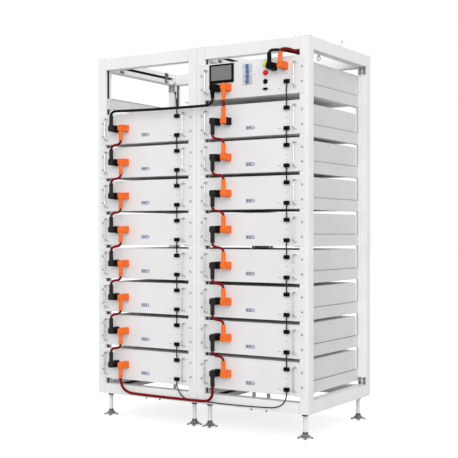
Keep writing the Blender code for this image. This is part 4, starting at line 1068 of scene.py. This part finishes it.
def add_socket(shape, x, z, paint):
    """A power socket on its flange, with a latch groove."""
    shape.plate((x, z), (0.0126, 0.015), (PANEL_FRONT - 0.0022, PANEL_FRONT + GAP), paint, 0.0008)
    shape.plate((x, z), (0.012, 0.0138), (-0.037, PANEL_FRONT), paint, 0.0016, 3)
    for level in (-0.0085, 0.0085):
        shape.plate((x, z + level), (0.0123, 0.0012), (-0.033, -0.012), paint, 0.0004)


def add_plug(shape, x, z, direction, paint, length=PLUG_LENGTH, tapered=False):
    """A right-angle plug: a squarish head with a latch, and a grip that is ringed or tapered."""
    body = [(0.0088, -0.013), (0.0102, -0.0118), (0.0106, -0.0085), (0.0106, 0.011), (0.01, 0.0138)]
    if tapered:
        body += [(0.0102, 0.018), (0.0074, length - 0.009), (0.0068, length - 0.001), (0.0062, length)]
    else:
        body += [(0.0088, 0.016), (0.0085, length - 0.014), (0.0085, length - 0.0016), (0.0074, length)]
    shape.turned(body, (x, PLUG_Y, z), (0, 0, direction), paint, 32)
    for half_x, near, far, ends, edge, steps in (
        (0.0104, -0.0545, -0.0355, (-0.0118, 0.0108), 0.003, 3),
        (0.005, -0.0549, -0.05, (0.002, 0.0098), 0.0006, 2),
    ):
        low_z, high_z = sorted(z + direction * end for end in ends)
        shape.block((x - half_x, near, low_z), (x + half_x, far, high_z), paint, edge, steps)
    if not tapered:
        for ring in range(3):
            at = z + direction * (length - 0.0125 + 0.0036 * ring)
            shape.ring((x, PLUG_Y, at), 0.0084, 0.0007, UP, paint, 32, 8)


def add_signal_connector(shape, z, direction):
    """A signal plug with side ribs, a latch and a short cable boot."""
    x, half_x, half_z, paint = SIGNAL_X, 0.011, SIGNAL_HEIGHT / 2, "black_plastic"
    shape.plate((x, z), (half_x, half_z), (-0.0138, PANEL_FRONT + GAP), paint, 0.0009, 3)
    shape.plate((x, z), (0.0045, half_z - 0.002), (-0.014, -0.013), paint, 0.0003)
    for side in (-1, 1):
        for rib in (-0.0035, 0.0, 0.0035):
            shape.plate((x + side * half_x, z + rib), (0.0004, 0.0006), (-0.0125, -0.005), paint, 0.0002)
    start = (x, SIGNAL_Y, z + direction * (half_z - 0.004))
    shape.rod(start, (x, SIGNAL_Y, z + direction * half_z), 0.0034, paint, 16)


def add_polarity_marks(shape, z):
    """Printed minus and plus signs under the power sockets."""
    minus_x, plus_x = LEFT_SOCKET_X + 0.003, RIGHT_SOCKET_X + 0.003
    front, back = PRINT_DEPTH
    for x in (minus_x, plus_x):
        shape.plate((x, z), (0.0035, 0.0006), PRINT_DEPTH, "grey_ink", 0.0)
    shape.plate((plus_x, z), (0.0006, 0.003), (front - 0.00002, back), "grey_ink", 0.0)


def add_charge_mark(shape, x, z):
    """A printed battery symbol: a cell outline, its terminal and charge bars."""
    half_x, half_z, line = 0.019, 0.0068, 0.0022
    front, back = PRINT_DEPTH
    # Each bar's low and high x, then its low and high z.
    bars = [
        (-half_x, half_x, half_z - line, half_z),
        (-half_x, half_x, -half_z, -half_z + line),
        (-half_x, -half_x + line, -half_z + line, half_z - line),
        (half_x - line, half_x, -half_z + line, half_z - line),
        (half_x, half_x + 0.0028, -0.0028, 0.0028),
        (-0.015, -0.0075, -0.003, 0.003),
        (-0.0055, 0.002, -0.003, 0.003),
        (0.004, 0.009, -0.003, 0.003),
    ]
    for low_x, high_x, low_z, high_z in bars:
        shape.block((x + low_x, front, z + low_z), (x + high_x, back, z + high_z), "blue_ink", 0.0)


def add_dash(shape, x, z, width, height=0.0024):
    """A printed dash, where a caption would be."""
    shape.plate((x, z), (width / 2, height / 2), PRINT_DEPTH, "grey_ink", 0.0)


def add_case_screws(shape, low_z, side_z, high_z):
    """Screws on a case's sides and in two rows on its back."""
    for hand in (-1, 1):
        for y in (0.06, 0.256, 0.452):
            shape.screw((hand * CASE_HALF, y, side_z), (hand, 0, 0), 0.0026)
    for x in (-0.195, -0.065, 0.065, 0.195):
        for z in (low_z, high_z):
            shape.screw((x, CASE_REAR, z), (0, 1, 0), 0.0028)


def add_vents(shape, count, half_z, proud, paint):
    """A row of vent slots on a case's back, drawn as dark plates of painted shade."""
    for slot in range(count):
        x = VENT_PITCH * (slot - (count - 1) / 2)
        shape.plate((x, -0.002), (0.003, half_z), (CASE_REAR - 0.001, CASE_REAR + proud), paint, 0.0)


def add_case(shape):
    """A module's closed case: a tray and a lid with chamfered edges, a seam gap filled with a dark plate of
    painted shade, screws and vents.
    """
    x, near, seam, chamfer = CASE_HALF, 0.0006, CASE_BOTTOM + 0.044, 0.006
    tray = [(-x, CASE_BOTTOM), (x, CASE_BOTTOM), (x, seam - 0.001), (-x, seam - 0.001)]
    shape.prism(tray, "y", near, CASE_REAR, "case_grey", 0.0008)
    # A dark plate in the seam gap: painted shade.
    shape.plate((0, seam), (x - 0.0003, 0.0014), (0.001, CASE_REAR - 0.0004), "painted_gap_shade", 0.0)
    lid = [(-x, seam + 0.001), (x, seam + 0.001), (x, CASE_TOP - chamfer), (x - chamfer, CASE_TOP)]
    lid += [(-x + chamfer, CASE_TOP), (-x, CASE_TOP - chamfer)]
    shape.prism(lid, "y", near, CASE_REAR, "case_grey", 0.0008)
    add_case_screws(shape, CASE_BOTTOM + 0.012, CASE_TOP - 0.013, CASE_TOP - 0.014)
    add_vents(shape, 16, 0.016, 0.0003, "painted_slot_shade")


def add_module_front(shape, side, number):
    """Everything on a module's front."""
    add_panel(shape, MODULE_PANEL_HEIGHT)
    left_up = 1 if side == "left" else -1
    odd_socket = side == "right" and number == 1
    add_socket(shape, LEFT_SOCKET_X, 0.0, "black_plastic")
    add_socket(shape, RIGHT_SOCKET_X, 0.0, "black_plastic" if odd_socket else "orange_plastic")
    # The black plug takes the lighter black: painted highlight.
    add_plug(shape, LEFT_SOCKET_X, 0.0, left_up, "plug_black_painted_highlight")
    add_plug(shape, RIGHT_SOCKET_X, 0.0, -left_up, "orange_plastic")
    add_signal_connector(shape, UPPER_SIGNAL_Z, 1)
    add_signal_connector(shape, LOWER_SIGNAL_Z, -1)
    add_polarity_marks(shape, -0.0235)
    add_charge_mark(shape, -0.002, -0.031)
    add_dash(shape, SIGNAL_X, UPPER_SIGNAL_Z - 0.0135, 0.009, 0.001)
    add_dash(shape, SIGNAL_X, LOWER_SIGNAL_Z + 0.0125, 0.009, 0.001)
    add_dash(shape, SIGNAL_X - 0.036, LOWER_SIGNAL_Z, 0.013)
    add_dash(shape, SIGNAL_X + 0.023, LOWER_SIGNAL_Z, 0.006)
    lamp_back, lamp_front = (SIGNAL_X, PANEL_FRONT + GAP, 0), (SIGNAL_X, PANEL_FRONT - 0.001, 0)
    shape.rod(lamp_back, lamp_front, 0.0022, "grey_plastic", 20)


def build_module(side, number):
    """A detailed module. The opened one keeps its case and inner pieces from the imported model."""
    shape = Shape(RACKS[side] + Vector((0, 0, module_z(number))))
    add_module_front(shape, side, number)
    if (side, number) == ("left", 1):
        shape.piece("left_module_1_front", ["left_module_1_front_panel"])
        return
    add_case(shape)
    shape.piece(f"{side}_module_{number}_unit", [f"{side}_module_{number}"])


def build_sheet_cases():
    """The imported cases, covers and inner pieces take their finishes and softer edges."""
    module = {"cell_block": "cell_blue", "busbars": "copper", "battery_board": "board_green"}
    box = {"switchgear": "grey_plastic"}
    for unit, inner in (("left_module_1", module), ("control_box", box)):
        for name, paint in {"case": "case_grey", "cover": "case_grey", **inner}.items():
            finish_packed(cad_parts[f"{unit}_{name}"], paint)


def build_control_box_front():
    """The control box's panel with its sockets, plugs, lamps, button bezel and port."""
    shape = Shape(RACKS["right"] + Vector((0, 0, BOX_PANEL_Z)))
    half = BOX_PANEL_HEIGHT / 2
    top = half - PANEL_LIP
    # Openings for the screen's back, the breaker's nose and the button: low x, high x, low z, high z.
    openings = (
        (-0.1830, -0.087, 0.0015, 0.0585),
        (-0.0375, 0.0085, -0.023, 0.06),
        (LAMP_X - 0.0079, LAMP_X + 0.0079, BUTTON_Z - 0.0079, BUTTON_Z + 0.0079),
    )
    start = -PANEL_HALF
    for low_x, high_x, low_z, high_z in openings:
        add_slab(shape, start, low_x, -half, top)
        add_slab(shape, low_x, high_x, -half, low_z)
        add_slab(shape, low_x, high_x, high_z, top)
        start = high_x
    add_slab(shape, start, PANEL_HALF, -half, top)
    add_panel_lip(shape, BOX_PANEL_HEIGHT)
    add_panel_fittings(shape)
    for x, z, direction, paint, length in (
        (LEFT_SOCKET_X, BOX_INPUT_Z, -1, "black_plastic", SHORT_PLUG_LENGTH),
        (RIGHT_SOCKET_X, BOX_INPUT_Z, -1, "orange_plastic", PLUG_LENGTH),
        (NEGATIVE_OUTPUT_X, BOX_OUTPUT_Z, 1, "black_plastic", SHORT_PLUG_LENGTH),
        (POSITIVE_OUTPUT_X, BOX_OUTPUT_Z, 1, "orange_plastic", SHORT_PLUG_LENGTH),
    ):
        add_socket(shape, x, z, paint)
        add_plug(shape, x, z, direction, paint, length, tapered=direction < 0)
        if direction > 0:
            boot = [(0.0084, -0.001), (0.0082, 0.0058), (0.0066, 0.0072)]
            shape.turned(boot, (x, PLUG_Y, z + length), UP, paint, 28)
    add_signal_connector(shape, BOX_SIGNAL_Z, -1)
    add_lamp(shape, LAMP_X, 0.052, "lamp_yellow")
    add_lamp(shape, LAMP_X, 0.017, "lamp_red")
    bezel = [(0.008, -0.001), (0.0105, -0.001), (0.0105, 0.0008), (0.0096, 0.0018), (0.008, 0.002)]
    shape.turned(bezel, (LAMP_X, PANEL_FRONT, BUTTON_Z), FORWARD, "black_plastic", 32, hollow=True)
    add_port(shape, LAMP_X, -0.047)
    # Captions: x, z and width.
    for x, z, width in (
        (-0.054, 0.013, 0.008),
        (0.019, 0.013, 0.011),
        *((LAMP_X, z, 0.008) for z in (0.035, -0.0005, -0.033, -0.058)),
        (0.1170, 0.009, 0.009),
        (0.1650, 0.006, 0.009),
        (0.1310, -0.05, 0.012),
    ):
        add_dash(shape, x, z, width)
    shape.piece("control_box_front", ["control_box_front_panel"])


def add_lamp(shape, x, z, paint):
    """An indicator lamp: a ring nut and a domed lens."""
    foot = (x, PANEL_FRONT, z)
    shape.turned([(0.011, 0.0), (0.011, 0.0016), (0.01, 0.0026)], foot, FORWARD, "black_plastic", 36)
    dome = [(0.0094, 0.001), (0.0094, 0.0052), (0.0086, 0.0068), (0.0066, 0.008), (0.0036, 0.0086)]
    shape.turned(dome, foot, FORWARD, paint, 36)


def add_port(shape, x, z):
    """A service port with a shell, a contact tongue and a screw on each side."""
    shape.plate((x, z), (0.0095, 0.005), (-0.0056, PANEL_BACK), "black_plastic", 0.0006)
    shape.plate((x, z), (0.0078, 0.0034), (-0.0058, -0.004), "black_plastic", 0.0003)
    for side in (-1, 1):
        shape.screw((x + side * 0.015, PANEL_FRONT, z), FORWARD, 0.0026)


def build_touch_screen():
    """The touch screen: a black bezel, wider at the foot, around its display."""
    shape = Shape(RACKS["right"] + Vector((SCREEN_X, 0, BOX_PANEL_Z + SCREEN_Z)))
    front, seat = -0.008, PANEL_FRONT - GAP
    shape.plate((0, 0), (0.058, 0.0385), (front + GAP, seat), "black_plastic", 0.0016, 3)
    shape.plate((0, 0), (0.0475, 0.028), (seat - 0.001, 0.02), "black_plastic")
    shape.plate((0, 0.002), (0.0485, 0.029), (front, front + 0.002), "screen_glass", 0.0003)
    shape.piece("touch_screen_unit", ["touch_screen"])


def build_breaker():
    """The main breaker: four poles' noses with the handle's groove, the body behind, and the handle."""
    shape = Shape(RACKS["right"] + Vector((BREAKER_X, 0, BREAKER_Z)))
    half_x, half_z, front, groove, end_plate = 0.0225, 0.041, -0.004, 0.0085, 0.0008
    reach = math.sqrt(groove**2 - (front - HINGE_Y) ** 2)
    first = math.atan2(front - HINGE_Y, reach)
    outline = [(-half_x, front), (-half_x, 0.012), (half_x, 0.012), (half_x, front)]
    for step in range(17):
        angle = first + (math.pi - 2 * first) * step / 16
        outline.append((groove * math.cos(angle), HINGE_Y + groove * math.sin(angle)))
    pole = (2 * half_z - 2 * end_plate) / 4
    middles = [-half_z + end_plate + (number + 0.5) * pole for number in range(4)]
    for z in middles:
        shape.prism(outline, "z", z - pole / 2 + 0.0001, z + pole / 2 - 0.0001, "breaker_grey", 0.0003)
        for x in (-0.0165, 0.0165):
            shape.rod((x, front - 0.0003, z), (x, front + 0.001, z), 0.0026, "grey_plastic", 20, 0.0001)
    for low, high in ((-half_z, -half_z + end_plate), (half_z - end_plate, half_z)):
        shape.block((-half_x, front, low), (half_x, 0.012, high), "breaker_grey", 0.0002)
    shape.plate((0, 0), (0.04, half_z - 0.002), (0.001, 0.075), "breaker_grey", 0.0012)
    for z in middles:
        for hand in (-1, 1):
            shape.screw((hand * 0.04, 0.04, z), (hand, 0, 0), 0.0032)
    shape.piece("main_breaker_unit", ["main_breaker"])

    shape = Shape(RACKS["right"] + Vector((BREAKER_X, HINGE_Y, BREAKER_Z)))
    shape.matrix = shape.matrix @ Matrix.Rotation(HANDLE_TILT, 4, "Z")
    half = half_z - 0.0015
    shape.rod((0, 0, -half), (0, 0, half), 0.0075, "breaker_grey", 36, 0.0005)
    shape.plate((0, 0), (0.0042, half - 0.001), (-0.0125, -0.004), "blue_plastic", 0.0009)
    paddle = [(-0.0036, -0.005), (-0.004, -0.0088), (-0.008, -0.01), (-0.0084, -0.0128), (-0.004, -0.0158)]
    paddle += [(0.0000, -0.0165), (0.003, -0.015), (0.004, -0.012), (0.004, -0.005)]
    for number in range(4):
        z = -half + (number + 0.5) * half / 2
        shape.prism(paddle, "z", z - 0.0066, z + 0.0066, "blue_plastic", 0.0012)
    shape.piece("breaker_handle_bar", ["breaker_handle"], "breaker_handle")


def build_start_button():
    """The start button's dished cap and stem."""
    shape = Shape(RACKS["right"] + Vector((LAMP_X, 0, BOX_PANEL_Z + BUTTON_Z)))
    cap = [(0.007, -0.012), (0.0075, -0.011), (0.0075, 0.007), (0.0068, 0.008), (0.0054, 0.008)]
    cap += [(0.0046, 0.0074), (0.002, 0.0071)]
    shape.turned(cap, (0, 0, 0), FORWARD, "black_plastic", 32)
    shape.rod((0, GAP, 0), (0, 0.003, 0), 0.0095, "black_plastic", 32)
    shape.piece("start_button_cap", ["start_button"], "start_button")


def build_fixings():
    """Screws and rear vents of the two units with packed cases."""
    for name, side, middle, low in (
        ("left_module_1_fixings", "left", TOP_MODULE_Z, CASE_BOTTOM),
        ("control_box_fixings", "right", BOX_PANEL_Z, BOX_CASE_BOTTOM),
    ):
        shape = Shape(RACKS[side] + Vector((0, 0, middle)))
        add_case_screws(shape, low + 0.012, CASE_TOP - 0.012, CASE_TOP - 0.012)
        # The vent slots are dark plates: painted shade.
        add_vents(shape, 22, 0.026, 0.0004, "painted_gap_shade")
        shape.piece(name)


def build_power_stub():
    """The thick cable between the control box's positive input and the top module, a fist long."""
    shape = Shape(RACKS["right"])
    high, low = BOX_PANEL_Z + BOX_INPUT_Z - PLUG_LENGTH, TOP_MODULE_Z + PLUG_LENGTH
    path = []
    for step in range(9):
        bow = 0.0008 * math.sin(math.pi * step / 8)
        path.append((RIGHT_SOCKET_X + bow, PLUG_Y, high + (low - high) * step / 8))
    shape.tube(path, 0.006, "red_cable", 24)
    shape.piece("control_power_stub")


def build_ties():
    """The cable tie on the top link, the clip that holds the signal lead, and a ring under a beam."""
    shape = Shape(SEAM)
    x, y, z = 0.08, PLUG_Y, TOP_MODULE_Z + PLUG_LENGTH + 0.0128
    shape.ring((x, y, z), 0.0066, 0.0011, (1, 0, 0), "black_plastic", 28, 8)
    shape.plate((x, z + 0.0075), (0.0024, 0.002), (y - 0.0024, y + 0.0024), "black_plastic")
    tail = points_from((x, y, z), (0, 0, 8), (-0.6, -0.4, 15), (-0.4, 0, 21.5))
    shape.tube(bent(tail, 0.004), 0.0012, "black_plastic", 8)
    shape.piece("top_link_tie")
    shape = Shape(RACKS["left"])
    x, y, z = -0.2100, 0.5110, 1.3685
    shape.ring((x, y, z), 0.0042, 0.0012, (-0.6, 0.8, 0.2), "black_plastic", 24, 8)
    shape.block((-INNER_X + GAP, y + 0.001, z - 0.004), (x - 0.0035, y + 0.009, z + 0.004), "black_plastic")
    shape.piece("signal_lead_clip")
    shape = Shape(RACKS["right"])
    x, y, z = INNER_X, 0.1580, 1.3925
    shape.ring((x, y, z), 0.0074, 0.0024, (0, 1, 0), "breaker_grey", 36, 12)
    shape.block((x - 0.003, y - 0.004, z + 0.0075), (x + 0.003, y + 0.004, BEAM_TOP_Z - GAP), "breaker_grey")
    shape.piece("cable_ring")


def build_object():
    """Every piece of the two racks."""
    build_link_cables()
    build_output_leads()
    build_jumpers()
    build_spare_signal_lead()
    for side in SIDES:
        for end in ENDS:
            build_portal(side, end)
        for hand in HANDS:
            build_side_beam(side, hand, "top")
            build_side_beam(side, hand, "bottom")
            build_runners(side, hand)
            for end in ENDS:
                build_foot(side, end, hand)
        build_brackets(side)
        for number in range(1, MODULE_COUNT + 1):
            build_module(side, number)
    build_sheet_cases()
    build_control_box_front()
    build_touch_screen()
    build_breaker()
    build_start_button()
    build_fixings()
    build_power_stub()
    build_ties()


# Studio.


def floor_material():
    """A grey floor that glows to the camera only, so that it looks white and lights the object little."""
    finish = Finish("studio_floor")
    finish.colour(finish.mix((0.40, 0.40, 0.40), (0.42, 0.42, 0.42), finish.haze(3.0)))
    finish.rough(20.0, 0.82, 0.95)
    finish.glow((1.0, 1.0, 1.0), FLOOR_GLOW)
    seen = finish.node("ShaderNodeLightPath").outputs["Is Camera Ray"]
    finish.link(finish.times(seen, FLOOR_GLOW), finish.shader.inputs["Emission Strength"])
    return finish.material


def build_studio():
    """A wide pale floor, an even white surround and a broad soft light from the front right."""
    bm = bmesh.new()
    bmesh.ops.create_grid(bm, x_segments=8, y_segments=8, size=30.0)
    mesh = bpy.data.meshes.new("floor")
    bm.to_mesh(mesh)
    bm.free()
    mesh.materials.append(floor_material())
    floor = bpy.data.objects.new("floor", mesh)
    bpy.context.scene.collection.objects.link(floor)
    world = bpy.data.worlds.new("studio")
    world.use_nodes = True
    tree = world.node_tree
    background = tree.nodes["Background"]
    background.inputs["Color"].default_value = (1.0, 1.0, 1.0, 1.0)
    seen = tree.nodes.new("ShaderNodeLightPath").outputs["Is Camera Ray"]
    strength = tree.nodes.new("ShaderNodeMapRange")
    strength.inputs["To Min"].default_value = SKY_STRENGTH
    strength.inputs["To Max"].default_value = 1.0
    tree.links.new(seen, strength.inputs["Value"])
    tree.links.new(strength.outputs["Result"], background.inputs["Strength"])
    bpy.context.scene.world = world
    bpy.context.scene.view_settings.view_transform = "Standard"
    data = bpy.data.lights.new("key", "SUN")
    data.energy = KEY_STRENGTH
    data.angle = math.radians(KEY_ANGLE)
    key = bpy.data.objects.new("key", data)
    key.rotation_euler = Vector(KEY_DIRECTION).to_track_quat("-Z", "Y").to_euler()
    bpy.context.scene.collection.objects.link(key)


build_object()
build_studio()
